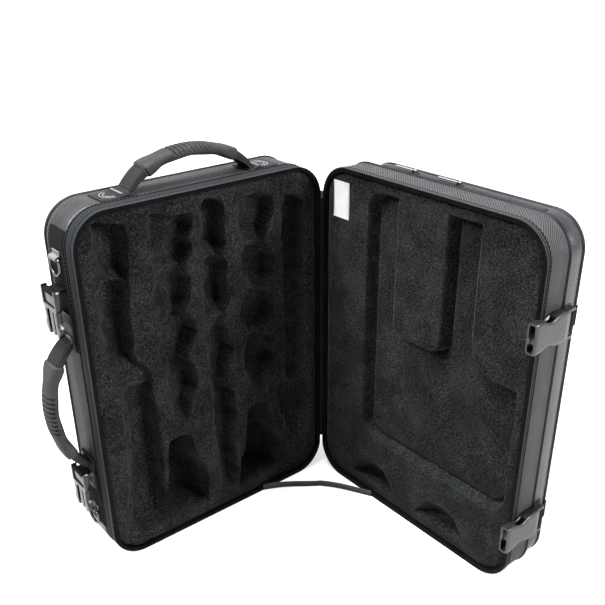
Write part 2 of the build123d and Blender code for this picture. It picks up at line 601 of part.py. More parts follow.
# ---- the whole case -----------------------------------------------------------------------------------
def base_parts():
    """Everything that stays with the base."""
    sizes = (BASE_BINDING_WIDTH, BASE_ZIPPER_START, BASE_ZIPPER_WIDTH, BASE_PIPING_SETBACK)
    rim, tape, cord = outline_bands(BASE_DEPTH, *sizes)
    upper_bottom = SIDE_HANDLE_HEIGHT + HANDLE_SPAN / 2 - STRAP_OVERRUN
    lower_top = SIDE_HANDLE_HEIGHT - HANDLE_SPAN / 2 + STRAP_OVERRUN
    return {
        "base_shell": BASE * half_shell(BASE_DEPTH, BASE_BACK_RADIUS, *sizes),
        "base_lining": BASE * base_lining(),
        "base_rim_binding": BASE * rim,
        "base_zipper_tape": BASE * tape,
        "base_piping": BASE * cord,
        "spine_hinge_tape": hinge_tape(),
        "edge_strap_upper": edge_strip(upper_bottom, RING_UPPER_HEIGHT + STRAP_PAST_UPPER_RING),
        "edge_strap_lower": edge_strip(RING_LOWER_HEIGHT - STRAP_PAST_LOWER_RING, lower_top),
        "top_handle_anchors": TOP_WALL * handle_anchors(),
        "side_handle_anchors": SIDE_WALL * handle_anchors(),
        "d_ring_tab_upper": ring_tab(RING_UPPER_HEIGHT),
        "d_ring_tab_lower": ring_tab(RING_LOWER_HEIGHT),
        "plug_tab_upper": male_tab(MALE_UPPER_HEIGHT),
        "plug_tab_lower": male_tab(MALE_LOWER_HEIGHT, ANCHOR_THICKNESS),
    }


def lid_parts():
    """Everything that swings with the lid."""
    sizes = (LID_BINDING_WIDTH, LID_ZIPPER_START, LID_ZIPPER_WIDTH, LID_PIPING_SETBACK)
    rim, tape, cord = outline_bands(LID_DEPTH, *sizes)
    gusset, panel, pocket_cord, pocket_zipper = music_pocket()
    return {
        "lid_shell": LID * half_shell(LID_DEPTH, LID_BACK_RADIUS, *sizes),
        "lid_lining": LID * lid_lining(),
        "lining_label": LID * lining_label(),
        "lid_rim_binding": LID * rim,
        "lid_zipper_tape": LID * tape,
        "lid_piping": LID * cord,
        "pocket_gusset": LID * gusset,
        "pocket_panel": LID * panel,
        "pocket_piping": LID * pocket_cord,
        "pocket_zipper": LID * pocket_zipper,
        "socket_webbing_upper": lid_webbing(FEMALE_UPPER_HEIGHT),
        "socket_webbing_lower": lid_webbing(FEMALE_LOWER_HEIGHT),
    }


def moving_parts():
    """Handles, rings, buckle halves, sliders and pulls, and the zipper's free tail."""
    slider_one, pull_one = pocket_slider_and_pull(SLIDER_ONE_PLACE)
    slider_two, pull_two = pocket_slider_and_pull(SLIDER_TWO_PLACE)
    main_slider, main_pull = main_slider_and_pull()
    return {
        "top_handle_grip": TOP_WALL * handle_grip(),
        "top_handle_sleeves": TOP_WALL * handle_sleeves(),
        "side_handle_grip": SIDE_WALL * handle_grip(),
        "side_handle_sleeves": SIDE_WALL * handle_sleeves(),
        "d_ring_upper": d_ring(RING_UPPER_HEIGHT),
        "d_ring_lower": d_ring(RING_LOWER_HEIGHT),
        "buckle_plug_upper": male_buckle(MALE_UPPER_HEIGHT),
        "buckle_plug_lower": male_buckle(MALE_LOWER_HEIGHT),
        "buckle_socket_upper": female_buckle(FEMALE_UPPER_HEIGHT),
        "buckle_socket_lower": female_buckle(FEMALE_LOWER_HEIGHT),
        "pocket_slider_one": slider_one,
        "pocket_slider_two": slider_two,
        "pocket_pull_one": pull_one,
        "pocket_pull_two": pull_two,
        "zipper_tail": zipper_tail(),
        "main_slider": main_slider,
        "main_pull": main_pull,
    }


def place(parts):
    """Move the case so that the origin is the centre of its footprint."""
    box = Compound(children=[shape.moved(Location()) for shape in parts.values()]).bounding_box()
    shift = Pos(-(box.min.X + box.max.X) / 2, -(box.min.Y + box.max.Y) / 2, -box.min.Z)
    return {name: shift * shape for name, shape in parts.items()}


def build():
    """Every part of the case in its own frame."""
    parts = base_parts()
    parts.update(lid_parts())
    parts.update(moving_parts())
    return place(parts)


os.makedirs("parts", exist_ok=True)
for node, shape in build().items():
    export_step(shape, f"parts/{node}.step")
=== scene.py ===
"""The looks of a double clarinet case that stands open: cloth, plush, webbing, rubber and buckles.

Shapes are worked out in millimetres. A point on a shell is (a, b, c): a from the spine wall towards
the free edge, b up from the floor, c back from the closing plane. Meshes are written in metres.
"""
import json
from math import asin, cos, hypot, pi, radians, sin

import bmesh
import bpy
import numpy as np
from mathutils import Euler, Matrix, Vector


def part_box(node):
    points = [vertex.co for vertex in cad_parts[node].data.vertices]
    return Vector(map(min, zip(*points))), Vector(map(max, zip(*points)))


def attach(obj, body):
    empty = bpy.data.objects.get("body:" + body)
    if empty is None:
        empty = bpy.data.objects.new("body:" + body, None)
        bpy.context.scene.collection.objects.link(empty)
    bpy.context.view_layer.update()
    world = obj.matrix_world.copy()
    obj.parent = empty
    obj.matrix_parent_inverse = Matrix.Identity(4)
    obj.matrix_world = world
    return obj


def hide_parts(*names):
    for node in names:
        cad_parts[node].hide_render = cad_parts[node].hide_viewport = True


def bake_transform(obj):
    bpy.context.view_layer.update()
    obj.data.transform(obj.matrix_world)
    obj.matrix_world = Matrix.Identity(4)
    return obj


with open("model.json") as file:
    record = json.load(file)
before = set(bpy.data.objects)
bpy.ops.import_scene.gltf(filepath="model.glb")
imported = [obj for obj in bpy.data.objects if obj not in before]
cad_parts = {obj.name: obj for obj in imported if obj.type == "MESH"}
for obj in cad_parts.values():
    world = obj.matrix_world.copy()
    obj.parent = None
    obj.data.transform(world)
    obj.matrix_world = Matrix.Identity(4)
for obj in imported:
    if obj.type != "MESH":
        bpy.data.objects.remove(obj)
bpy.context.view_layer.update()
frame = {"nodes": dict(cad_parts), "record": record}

MM = 0.001
JOINTS = {joint["name"]: joint for joint in frame["record"]["behaviour"]["joints"]}


def joint_place(name):
    """Where a joint turns, in millimetres."""
    return np.array(JOINTS[name]["pos_m"]) / MM


def node_box(node):
    """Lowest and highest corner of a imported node, in millimetres."""
    low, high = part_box(node)
    return np.array(low) / MM, np.array(high) / MM


# ---- sizes read from the frame ------------------------------------------------------------------
HINGE_X, HINGE_Y = joint_place("lid_hinge")[:2]
SHELL_LOW, SHELL_HIGH = node_box("base_shell")
SPINE_GAP = HINGE_X - SHELL_HIGH[0]
WIDTH = SHELL_HIGH[0] - SHELL_LOW[0]
HEIGHT = SHELL_HIGH[2]
BASE_DEPTH = SHELL_HIGH[1] - HINGE_Y
LID_DEPTH = node_box("lid_shell")[1][0] - HINGE_X
CORNER = 36.0
# low_a, high_a, low_b, high_b and corner radius of a shell and of the pocket on the lid's back
SHELL_SIDES = (0.0, WIDTH, 0.0, HEIGHT, CORNER)
POCKET_SIDES = (15.0, WIDTH - 2.0, 2.0, HEIGHT - 2.0, CORNER - 2.0)
RIM_GAP = 0.5                 # each rim stops this short of the closing plane
LINING_FACE = 3.0
LINING_INSET = 4.3


# ---- places -------------------------------------------------------------------------------------
def on_shell(shell, a, b, c):
    """World place, in metres, of points given in the millimetres of the base or the lid."""
    if shell == "base":
        world = (HINGE_X - SPINE_GAP - a, HINGE_Y + c, b)
    else:
        world = (HINGE_X + c, HINGE_Y - SPINE_GAP - a, b)
    return np.stack(np.broadcast_arrays(*world), -1) * MM


def drawn_in(sides, margin):
    """The sides and corner radius of a rounded rectangle, drawn in by a margin."""
    low_a, high_a, low_b, high_b, radius = sides
    return low_a + margin, high_a - margin, low_b + margin, high_b - margin, radius - margin


def unit(vectors):
    """Vectors brought to length one."""
    return vectors / np.linalg.norm(vectors, axis=-1, keepdims=True)


def smooth(value):
    """Smooth step of a share from 0 to 1."""
    value = np.clip(value, 0.0, 1.0)
    return value * value * (3 - 2 * value)


# ---- finishes -----------------------------------------------------------------------------------
class Value:
    """One shader socket, so that shader maths reads as plain expressions."""

    def __init__(self, nodes, socket):
        self.nodes = nodes
        self.socket = socket

    def maths(self, operation, first, second=0.0):
        return self.nodes.node("ShaderNodeMath", {"operation": operation}, {0: first, 1: second})

    def __add__(self, other):
        return self.maths("ADD", self, other)

    def __sub__(self, other):
        return self.maths("SUBTRACT", self, other)

    def __rsub__(self, other):
        return self.maths("SUBTRACT", other, self)

    def __mul__(self, other):
        return self.maths("MULTIPLY", self, other)

    def __truediv__(self, other):
        return self.maths("DIVIDE", self, other)

    def __mod__(self, other):
        return self.maths("FLOORED_MODULO", self, other)

    def __gt__(self, other):
        return self.maths("GREATER_THAN", self, other)

    def __abs__(self):
        return self.maths("ABSOLUTE", self)

    def most(self, other):
        return self.maths("MAXIMUM", self, other)

    def floor(self):
        return self.maths("FLOOR", self)

    def sine(self):
        return self.maths("SINE", self)

    __radd__ = __add__
    __rmul__ = __mul__


class Nodes:
    """The shader nodes of one finish or of the room."""

    def __init__(self, tree):
        self.tree = tree

    def feed(self, socket, value):
        """Link a Value to a socket, or write a plain number or colour on it."""
        if isinstance(value, Value):
            self.tree.links.new(value.socket, socket)
        elif isinstance(value, (tuple, list)) and len(socket.default_value) == 4:
            socket.default_value = (*value[:3], 1.0)
        else:
            socket.default_value = value

    def node(self, kind, settings=None, inputs=None, output=0):
        """Add a node: its settings first, then the values or links of its sockets."""
        added = self.tree.nodes.new(kind)
        for name, value in (settings or {}).items():
            if name == "stops":
                self.set_stops(added.color_ramp, value)
            else:
                setattr(added, name, value)
        for name, value in (inputs or {}).items():
            self.feed(added.inputs[name], value)
        return Value(self, added.outputs[output])

    def set_stops(self, ramp, stops):
        """Give a ramp its stops, each a position with a grey or a colour."""
        while len(ramp.elements) < len(stops):
            ramp.elements.new(1.0)
        for element, (position, shade) in zip(ramp.elements, stops):
            element.position = position
            colour = shade if isinstance(shade, tuple) else (shade, shade, shade)
            element.color = (*colour, 1.0)

    def ramp(self, value, *stops):
        return self.node("ShaderNodeValToRGB", {"stops": stops}, {0: value})

    def in_view(self):
        """1 for what is seen, straight or by gloss or glass, and 0 for what only lights things."""
        camera, gloss, glass = (self.node("ShaderNodeLightPath", output=f"Is {kind} Ray")
                                for kind in ("Camera", "Glossy", "Transmission"))
        return camera.most(gloss).most(glass)


FINISHES = {}                 # each finish's material, under the name that its maker gives


class Finish(Nodes):
    """A procedural material built round one Principled shader."""

    def __init__(self, name, **settings):
        self.material = bpy.data.materials.new(name)
        self.material.use_nodes = True
        FINISHES[name] = self.material
        super().__init__(self.material.node_tree)
        self.shader = self.tree.nodes["Principled BSDF"]
        self.set(**settings)

    def set(self, **settings):
        """Set or link the shader's sockets; an underscore in a name stands for a space."""
        for name, value in settings.items():
            self.feed(self.shader.inputs[name.replace("_", " ")], value)

    def place(self):
        """The point itself, in metres in the case's frame."""
        return self.node("ShaderNodeTexCoord", output="Object")

    def lay(self):
        """Millimetres along and across the cloth, as two values."""
        cloth = self.node("ShaderNodeAttribute", {"attribute_name": "lay"}, output="Vector")
        return [self.node("ShaderNodeSeparateXYZ", inputs={0: cloth}, output=axis) for axis in ("X", "Y")]

    def noise(self, scale, detail=2.0, roughness=0.5):
        """Noise with about this many bumps to the metre."""
        inputs = {"Vector": self.place(), "Scale": scale, "Detail": detail, "Roughness": roughness}
        return self.node("ShaderNodeTexNoise", inputs=inputs)

    def mix(self, factor, first, second, blend="MIX"):
        """Mix two colours."""
        settings = {"data_type": "RGBA", "blend_type": blend}
        return self.node("ShaderNodeMix", settings, {0: factor, 6: first, 7: second}, output=2)

    def bump(self, height, distance, strength=1.0):
        """Raise the surface by height times distance, in metres."""
        inputs = {"Height": height, "Distance": distance, "Strength": strength}
        self.set(Normal=self.node("ShaderNodeBump", inputs=inputs))


def plush_finish():
    """Short dark pile with lighter fibre tips and patches brushed either way."""
    finish = Finish("plush", Roughness=0.95, Sheen_Weight=0.09, Sheen_Roughness=0.3, Specular_IOR_Level=0.02)
    fibre = finish.noise(1500.0, 3.0, 0.75)
    tuft = finish.noise(640.0, 2.0, 0.6)
    brushed = finish.noise(28.0, 3.0, 0.6)
    speckle = fibre * 0.62 + tuft * 0.38
    dark = finish.ramp(speckle, (0.38, (0.0008, 0.0009, 0.0009)), (0.50, (0.0062, 0.0069, 0.0066)),
                       (0.64, (0.046, 0.050, 0.048)))
    light = finish.ramp(speckle, (0.37, (0.0018, 0.0020, 0.0019)), (0.50, (0.0115, 0.0127, 0.0121)),
                        (0.64, (0.066, 0.071, 0.069)))
    patch = finish.ramp(brushed, (0.42, 0.0), (0.60, 1.0))
    finish.set(Base_Color=finish.mix(patch, dark, light))
    finish.bump(speckle, 0.0006, 0.8)


def twill_finish(name, dark, light, cell, roughness):
    """Two-over-two twill of flat yarns, with the yarn's own height, painted shade in the gaps between the
    yarns and a little soiling.
    """
    finish = Finish(name, Specular_IOR_Level=0.14)
    along, across = finish.lay()
    column = along / cell
    row = across / cell
    over = ((column.floor() + row.floor()) % 4.0) > 1.5
    warp = abs((column * pi).sine())
    weft = abs((row * pi).sine())
    height = over * warp + (1.0 - over) * weft
    soil = finish.noise(60.0, 4.0, 0.6)
    yarn = finish.mix(over, dark, light)
    # painted shade: the colour is darkened where the weave lies low, between the yarns
    gap = finish.ramp(height, (0.0, 0.30), (0.55, 1.0))
    shade = finish.mix(1.0, yarn, gap, "MULTIPLY")
    faded = tuple(1.25 * value for value in light)
    finish.set(Base_Color=finish.mix(finish.ramp(soil, (0.52, 0.0), (0.75, 0.35)), shade, faded))
    finish.set(Roughness=roughness + 0.18 * (1.0 - over) + 0.1 * soil)
    finish.bump(height, 0.00018)


def webbing_finish(name, dark, light, pitch):
    """Coarse ribbed webbing: cords along it, picks across it in a broken chevron, with painted shade in its
    grooves and paler ribs.
    """
    finish = Finish(name, Roughness=0.75, Specular_IOR_Level=0.04)
    along, across = finish.lay()
    cord = (across / pitch).floor()
    slant = along / pitch + (cord % 2.0) * 0.5
    pick = abs((slant * pi).sine())
    rib = abs((across * (pi / pitch)).sine())
    height = pick * 0.55 + rib * 0.45
    fuzz = finish.noise(1500.0, 2.0, 0.6)
    # painted shade and highlight: the colour follows the weave's height, dark in the grooves and pale on the
    # ribs
    tone = height * 0.8 + fuzz * 0.35
    finish.set(Base_Color=finish.ramp(tone, (0.25, dark), (0.95, light)))
    finish.bump(height + fuzz * 0.3, 0.00035)


def knit_finish(name, dark, light, pitch):
    """Open knit: rows of raised loops, each row half a loop on from the last, the loops painted paler and the
    gaps between them darker as light and shade.
    """
    finish = Finish(name, Roughness=0.70, Specular_IOR_Level=0.05)
    along, across = finish.lay()
    row = along / (pitch * 0.7)
    shift = (row.floor() % 2.0) * 0.5
    loop = abs(((across / pitch + shift) * pi).sine()) * abs((row * pi).sine())
    fuzz = finish.noise(1500.0, 2.0, 0.6)
    # painted highlight and shade: the colour follows the loops' height
    finish.set(Base_Color=finish.ramp(loop + fuzz * 0.2, (0.30, dark), (0.85, light)))
    finish.bump(loop, 0.0006)


def knurl_finish(name, dark, light, pitch):
    """Moulded zipper coil or ribbed binding: close ridges across the band, with painted highlights on their
    tops and painted shade between them.
    """
    finish = Finish(name, Roughness=0.45, Specular_IOR_Level=0.15)
    along = finish.lay()[0]
    ridge = abs((along * (pi / pitch)).sine())
    wear = finish.noise(240.0, 3.0, 0.6)
    # painted highlight and shade: the colour follows the ridges; the wear noise is random tone
    finish.set(Base_Color=finish.ramp(ridge * 0.85 + wear * 0.25, (0.15, dark), (0.9, light)))
    finish.bump(ridge, 0.00025)


def tape_finish(name, dark, light):
    """Herringbone zipper tape, its stripes painted paler and its hollows darker as light and shade."""
    finish = Finish(name, Roughness=0.70, Specular_IOR_Level=0.06)
    along, across = finish.lay()
    fold = abs((across / 3.2) % 2.0 - 1.0) * 3.2
    stripe = abs(((along + fold) * (pi / 1.1)).sine())
    fuzz = finish.noise(1200.0, 2.0, 0.6)
    # painted highlight and shade: the colour follows the stripes' height
    finish.set(Base_Color=finish.ramp(stripe * 0.7 + fuzz * 0.4, (0.2, dark), (0.95, light)))
    finish.bump(stripe, 0.00018)


def vinyl_finish(name, dark, light, roughness, shine=0.15):
    """Soft vinyl with a fine pebble grain and rubbed high spots."""
    finish = Finish(name, Specular_IOR_Level=shine)
    grain = finish.node("ShaderNodeTexVoronoi", {"feature": "F1"}, {"Vector": finish.place(), "Scale": 900.0})
    cloud = finish.noise(45.0, 4.0, 0.6)
    finish.set(Base_Color=finish.ramp(cloud, (0.32, dark), (0.68, light)))
    finish.set(Roughness=roughness + 0.25 * cloud)
    finish.bump(grain, 0.00022, 0.7)


def rubber_finish():
    """Matt grey moulded rubber, a little paler where hands rub it."""
    finish = Finish("grip_rubber", Specular_IOR_Level=0.15)
    rub = finish.noise(38.0, 4.0, 0.65)
    dust = finish.noise(1400.0, 2.0, 0.7)
    tone = rub * 0.8 + dust * 0.2
    finish.set(Base_Color=finish.ramp(tone, (0.30, (0.014, 0.014, 0.0145)), (0.70, (0.046, 0.046, 0.047))))
    finish.set(Roughness=0.48 + 0.3 * rub)
    finish.bump(dust, 0.00012, 0.6)


def plastic_finish(name, dark, light, roughness):
    """Moulded plastic with flow marks and fine scuffs."""
    finish = Finish(name, Specular_IOR_Level=0.45)
    flow = finish.noise(70.0, 3.0, 0.55)
    scuff = finish.noise(900.0, 4.0, 0.75)
    finish.set(Base_Color=finish.ramp(flow * 0.7 + scuff * 0.3, (0.35, dark), (0.70, light)))
    finish.set(Roughness=roughness + 0.22 * finish.ramp(scuff, (0.45, 0.0), (0.75, 1.0)))
    finish.bump(scuff, 0.00005, 0.5)


def metal_finish(name, colour, roughness):
    """Plated metal with hairline scratches."""
    finish = Finish(name, Metallic=1.0, Base_Color=colour)
    scratch = finish.noise(1800.0, 4.0, 0.8)
    smear = finish.noise(120.0, 3.0, 0.6)
    finish.set(Roughness=roughness + 0.2 * scratch * smear)
    tarnish = tuple(0.55 * value for value in colour)
    finish.set(Base_Color=finish.mix(finish.ramp(smear, (0.5, 0.0), (0.8, 0.6)), colour, tarnish))
    finish.bump(scratch, 0.00003, 0.4)


def thread_finish(name, dark, light):
    """Twisted sewing thread."""
    finish = Finish(name, Roughness=0.6, Specular_IOR_Level=0.3)
    twist = finish.noise(2600.0, 2.0, 0.6)
    finish.set(Base_Color=finish.ramp(twist, (0.35, dark), (0.7, light)))
    finish.bump(twist, 0.0001)


def label_finish():
    """Bare pale woven patch."""
    finish = Finish("label_cloth", Roughness=0.75, Sheen_Weight=0.1)
    along, across = finish.lay()
    weave = abs((along * (pi / 0.5)).sine()) * abs((across * (pi / 0.5)).sine())
    soil = finish.noise(90.0, 3.0, 0.6)
    tone = weave * 0.4 + soil * 0.6
    finish.set(Base_Color=finish.ramp(tone, (0.2, (0.42, 0.43, 0.45)), (0.7, (0.57, 0.57, 0.57))))
    finish.bump(weave, 0.0001)


plush_finish()
twill_finish("twill", (0.024, 0.024, 0.0255), (0.080, 0.080, 0.084), 0.8, 0.36)
twill_finish("panel_twill", (0.007, 0.007, 0.0075), (0.034, 0.034, 0.036), 0.8, 0.45)
webbing_finish("webbing", (0.001, 0.001, 0.001), (0.012, 0.012, 0.013), 1.3)
knit_finish("sleeve_weave", (0.001, 0.001, 0.001), (0.060, 0.060, 0.062), 2.3)
webbing_finish("tail_weave", (0.006, 0.006, 0.006), (0.090, 0.090, 0.092), 1.7)
knurl_finish("coil", (0.002, 0.0022, 0.0025), (0.070, 0.072, 0.076), 1.5)
vinyl_finish("binding", (0.0012, 0.0013, 0.0015), (0.004, 0.0044, 0.005), 0.50, 0.04)
tape_finish("zipper_tape", (0.004, 0.0045, 0.0055), (0.026, 0.029, 0.034))
vinyl_finish("piping", (0.006, 0.007, 0.0085), (0.018, 0.020, 0.024), 0.30, 0.12)
vinyl_finish("dark_piping", (0.007, 0.008, 0.010), (0.018, 0.020, 0.025), 0.30)
vinyl_finish("gusset_vinyl", (0.010, 0.010, 0.012), (0.028, 0.029, 0.033), 0.10, 0.45)
vinyl_finish("bar_vinyl", (0.10, 0.10, 0.103), (0.24, 0.24, 0.245), 0.35)
knurl_finish("dark_coil", (0.006, 0.006, 0.007), (0.040, 0.040, 0.043), 1.5)
webbing_finish("ring_webbing", (0.06, 0.06, 0.061), (0.26, 0.26, 0.265), 1.3)
vinyl_finish("seam", (0.002, 0.002, 0.0025), (0.007, 0.007, 0.008), 0.50, 0.06)
rubber_finish()
plastic_finish("plug_plastic", (0.002, 0.002, 0.0025), (0.006, 0.006, 0.007), 0.20)
plastic_finish("socket_plastic", (0.007, 0.0075, 0.009), (0.020, 0.021, 0.024), 0.26)
vinyl_finish("patch_vinyl", (0.006, 0.006, 0.0065), (0.022, 0.022, 0.023), 0.34)
# paler than the anchors' vinyl: painted highlight on the corners' bend, besides its real gloss
vinyl_finish("corner_vinyl_painted_highlight", (0.010, 0.010, 0.011), (0.030, 0.030, 0.032), 0.20, 0.40)
metal_finish("ring_metal", (0.09, 0.09, 0.095), 0.25)
metal_finish("slider_metal", (0.045, 0.045, 0.048), 0.35)
metal_finish("pull_metal", (0.88, 0.88, 0.90), 0.12)
thread_finish("thread", (0.020, 0.020, 0.021), (0.10, 0.10, 0.105))
thread_finish("bright_thread", (0.12, 0.12, 0.12), (0.42, 0.42, 0.42))
label_finish()


# ---- making meshes ------------------------------------------------------------------------------
def piece(name, points, faces, finish, body, replaces=(), lay=None, sharp=35.0):
    """A mesh piece on a body, or on none. lay gives millimetres on the cloth for each face's corners."""
    mesh = bpy.data.meshes.new(name)
    mesh.from_pydata([tuple(point) for point in points], [], faces)
    if lay is not None:
        attribute = mesh.attributes.new("lay", "FLOAT_VECTOR", "CORNER")
        flat = np.zeros((len(mesh.loops), 3), np.float32)
        flat[:, :2] = np.concatenate([np.asarray(corners, np.float32) for corners in lay])
        attribute.data.foreach_set("vector", flat.ravel())
    mesh.validate()
    shape = bmesh.new()
    shape.from_mesh(mesh)
    bmesh.ops.recalc_face_normals(shape, faces=shape.faces)
    shape.to_mesh(mesh)
    shape.free()
    mesh.shade_smooth()
    mesh.set_sharp_from_angle(angle=radians(sharp))
    mesh.materials.append(FINISHES[finish])
    made = bpy.data.objects.new(name, mesh)
    bpy.context.scene.collection.objects.link(made)
    if body is not None:
        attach(made, body)
    if replaces:
        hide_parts(*replaces)
    return made


def grid(rows, columns, wrap_rows=False, wrap_columns=False):
    """Quad faces of a grid whose points run column by column within each row."""
    faces = []
    for row in range(rows if wrap_rows else rows - 1):
        for column in range(columns if wrap_columns else columns - 1):
            below = (row + 1) % rows * columns
            beside = (column + 1) % columns
            faces.append((row * columns + column, row * columns + beside, below + beside, below + column))
    return faces


def grid_lay(rows, columns, along, across, wrap_rows=False, wrap_columns=False):
    """The lay of each corner of grid()'s faces, from one value per row and one per column."""
    corners = []
    for row in range(rows if wrap_rows else rows - 1):
        for column in range(columns if wrap_columns else columns - 1):
            corners.append([(along[row], across[column]), (along[row], across[column + 1]),
                            (along[row + 1], across[column + 1]), (along[row + 1], across[column])])
    return corners


def running_length(points, closed):
    """Distance along a polyline at each point, with the closing point's too."""
    points = np.asarray(points, float)
    if closed:
        points = np.vstack([points, points[:1]])
    return np.concatenate([[0.0], np.cumsum(np.linalg.norm(np.diff(points, axis=0), axis=1))])


class Outline:
    """A rounded rectangle walked once round, from the middle of its spine side."""

    def __init__(self, sides, step):
        low_a, high_a, low_b, high_b, radius = sides
        corners = [((low_a + radius, high_b - radius), 180.0), ((high_a - radius, high_b - radius), 90.0),
                   ((high_a - radius, low_b + radius), 0.0), ((low_a + radius, low_b + radius), -90.0)]
        middle = (low_b + high_b) / 2
        places = [(low_a, middle)]
        normals = [(-1.0, 0.0)]
        turns = max(4, round(radius * pi / 2 / step))
        for (centre_a, centre_b), start in corners:
            for turn in range(turns + 1):
                angle = radians(start - 90.0 * turn / turns)
                normal = (cos(angle), sin(angle))
                target = (centre_a + radius * normal[0], centre_b + radius * normal[1])
                self.walk(places, normals, target, step)
                places.append(target)
                normals.append(normal)
        self.walk(places, normals, (low_a, middle), step)
        self.places = np.array(places)
        self.normals = np.array(normals)
        self.along = running_length(places, True)

    def walk(self, places, normals, target, step):
        """Fill a straight side with points, short of its end."""
        start = places[-1]
        run = (target[0] - start[0], target[1] - start[1])
        distance = hypot(*run)
        if distance < 2 * step:
            return
        count = int(distance / step)
        for index in range(1, count):
            share = index / count
            places.append((start[0] + share * run[0], start[1] + share * run[1]))
            normals.append((-run[1] / distance, run[0] / distance))

    def spaced(self, pitch):
        """Places and outward normals at every pitch round the line, as four rows."""
        distances = np.arange(pitch / 2, self.along[-1], pitch)
        ring = np.hstack([self.places, self.normals])
        ring = np.vstack([ring, ring[:1]])
        return [np.interp(distances, self.along, row) for row in ring.T]


def swept_band(name, shell, outline, profile, finish, replaces=(), rib=0.0):
    """A closed section (inset, depth) swept round a shell; every second section stands a rib higher."""
    profile = np.asarray(profile, float)
    count = len(outline.places)
    inset = profile[:, 0] - rib * (np.arange(count)[:, None] % 2)
    a = outline.places[:, :1] - outline.normals[:, :1] * inset
    b = outline.places[:, 1:] - outline.normals[:, 1:] * inset
    points = on_shell(shell, a, b, profile[:, 1]).reshape(-1, 3)
    faces = grid(count, len(profile), True, True)
    lay = grid_lay(count, len(profile), outline.along, running_length(profile, True), True, True)
    piece(name, points, faces, finish, shell, replaces, lay)


def arc_points(centre, radius, start, end, count):
    """Points on an arc in a section, angles in degrees."""
    angles = np.radians(np.linspace(start, end, count))
    return [(centre[0] + radius * cos(angle), centre[1] + radius * sin(angle)) for angle in angles]


def half_round(front, back, rise, sink):
    """Section of a band that stands proud in a low arch between two depths and goes into the wall."""
    middle = (front + back) / 2
    half = (back - front) / 2
    arch = [(-rise * sin(angle), middle - half * cos(angle)) for angle in np.linspace(0.0, pi, 7)]
    return arch + [(sink, back), (sink, front)]


def tube_section(inset, depth, radius):
    """A round section."""
    return arc_points((inset, depth), radius, 0.0, 330.0, 12)


def superellipse(turns, half_wide, half_high, power):
    """Points of a squared-off oval: how far across and how far up."""
    cosine, sine = np.cos(turns), np.sin(turns)
    return (half_wide * np.sign(cosine) * np.abs(cosine) ** (2 / power),
            half_high * np.sign(sine) * np.abs(sine) ** (2 / power))


def evened(points, count):
    """The same line, its points evenly spaced."""
    points = np.asarray(points, float)
    spread = running_length(points, False)
    even = np.linspace(0, spread[-1], count)
    return np.stack([np.interp(even, spread, row) for row in points.T], 1)


def stitch_row(name, places, directions, normals, length, width, finish, body):
    """A row of stitches at places in metres, each a small spindle, millimetres long and wide."""
    points, faces = [], []
    ring = 6
    length = length * MM
    width = width * MM
    for place, direction, normal in zip(places, directions, normals):
        side = np.cross(direction, normal)
        for share, girth in ((-0.5, 0.15), (-0.3, 0.9), (0.3, 0.9), (0.5, 0.15)):
            first = len(points)
            for index in range(ring):
                angle = 2 * pi * index / ring
                offset = side * cos(angle) + normal * sin(angle) * 0.7
                points.append(place + direction * share * length + offset * girth * width / 2)
            if share > -0.5:
                for index in range(ring):
                    beside = (index + 1) % ring
                    faces.append((first - ring + index, first - ring + beside, first + beside, first + index))
            if abs(share) == 0.5:
                faces.append(tuple(range(first, first + ring)))
    piece(name, points, faces, finish, body, sharp=60.0)


def sewn_line(name, shell, outline, inset, depth, pitch, length=2.6, width=0.7, flat=False):
    """Thread stitches along an outline, round a wall or flat on a back."""
    a, b, facing_a, facing_b = outline.spaced(pitch)
    a = a - facing_a * inset
    b = b - facing_b * inset
    places = on_shell(shell, a, b, depth)
    ahead = on_shell(shell, a - facing_b, b + facing_a, depth) - places
    if flat:
        outward = on_shell(shell, a, b, depth + 1.0) - places
    else:
        outward = on_shell(shell, a + facing_a, b + facing_b, depth) - places
    stitch_row(name, places, unit(ahead), unit(outward), length, width, "thread", shell)


def box_stitches(name, corner, directions, width, height, pitch, body):
    """A sewn rectangle on a flat face, from its corner in millimetres and its right, up and out."""
    corner = np.array(corner, float)
    right, up, out = np.array(directions, float)
    places, runs = [], []
    corners = ((0, 0), (width, 0), (width, height), (0, height), (0, 0))
    for (start_u, start_v), (end_u, end_v) in zip(corners, corners[1:]):
        length = hypot(end_u - start_u, end_v - start_v)
        count = max(1, int(length / pitch))
        direction = (right * (end_u - start_u) + up * (end_v - start_v)) / length
        for share in (np.arange(count) + 0.5) / count:
            u = start_u + share * (end_u - start_u)
            v = start_v + share * (end_v - start_v)
            places.append((corner + right * u + up * v) * MM)
            runs.append(direction)
    stitch_row(name, places, runs, [out] * len(places), 0.62 * pitch, 0.7, "thread", body)


def border(rows, columns):
    """Numbers of the points round the edge of a grid, in turn."""
    numbers = np.arange(rows * columns).reshape(rows, columns)
    return np.concatenate([numbers[0], numbers[1:, -1], numbers[-1, -2::-1], numbers[-2:0:-1, 0]]).tolist()


def rounded_sheet(sides, heights, count):
    """Points a and b over a rounded rectangle: a row at each height, count points to a row."""
    low_a, high_a, low_b, high_b, radius = sides
    near_end = np.minimum(np.minimum(heights - low_b, high_b - heights), radius)
    draw = radius - np.sqrt(np.clip(radius ** 2 - (radius - near_end) ** 2, 0, None))
    a = (low_a + draw)[:, None] + np.linspace(0.0, 1.0, count) * (high_a - low_a - 2 * draw)[:, None]
    return a, np.repeat(heights[:, None], count, axis=1)


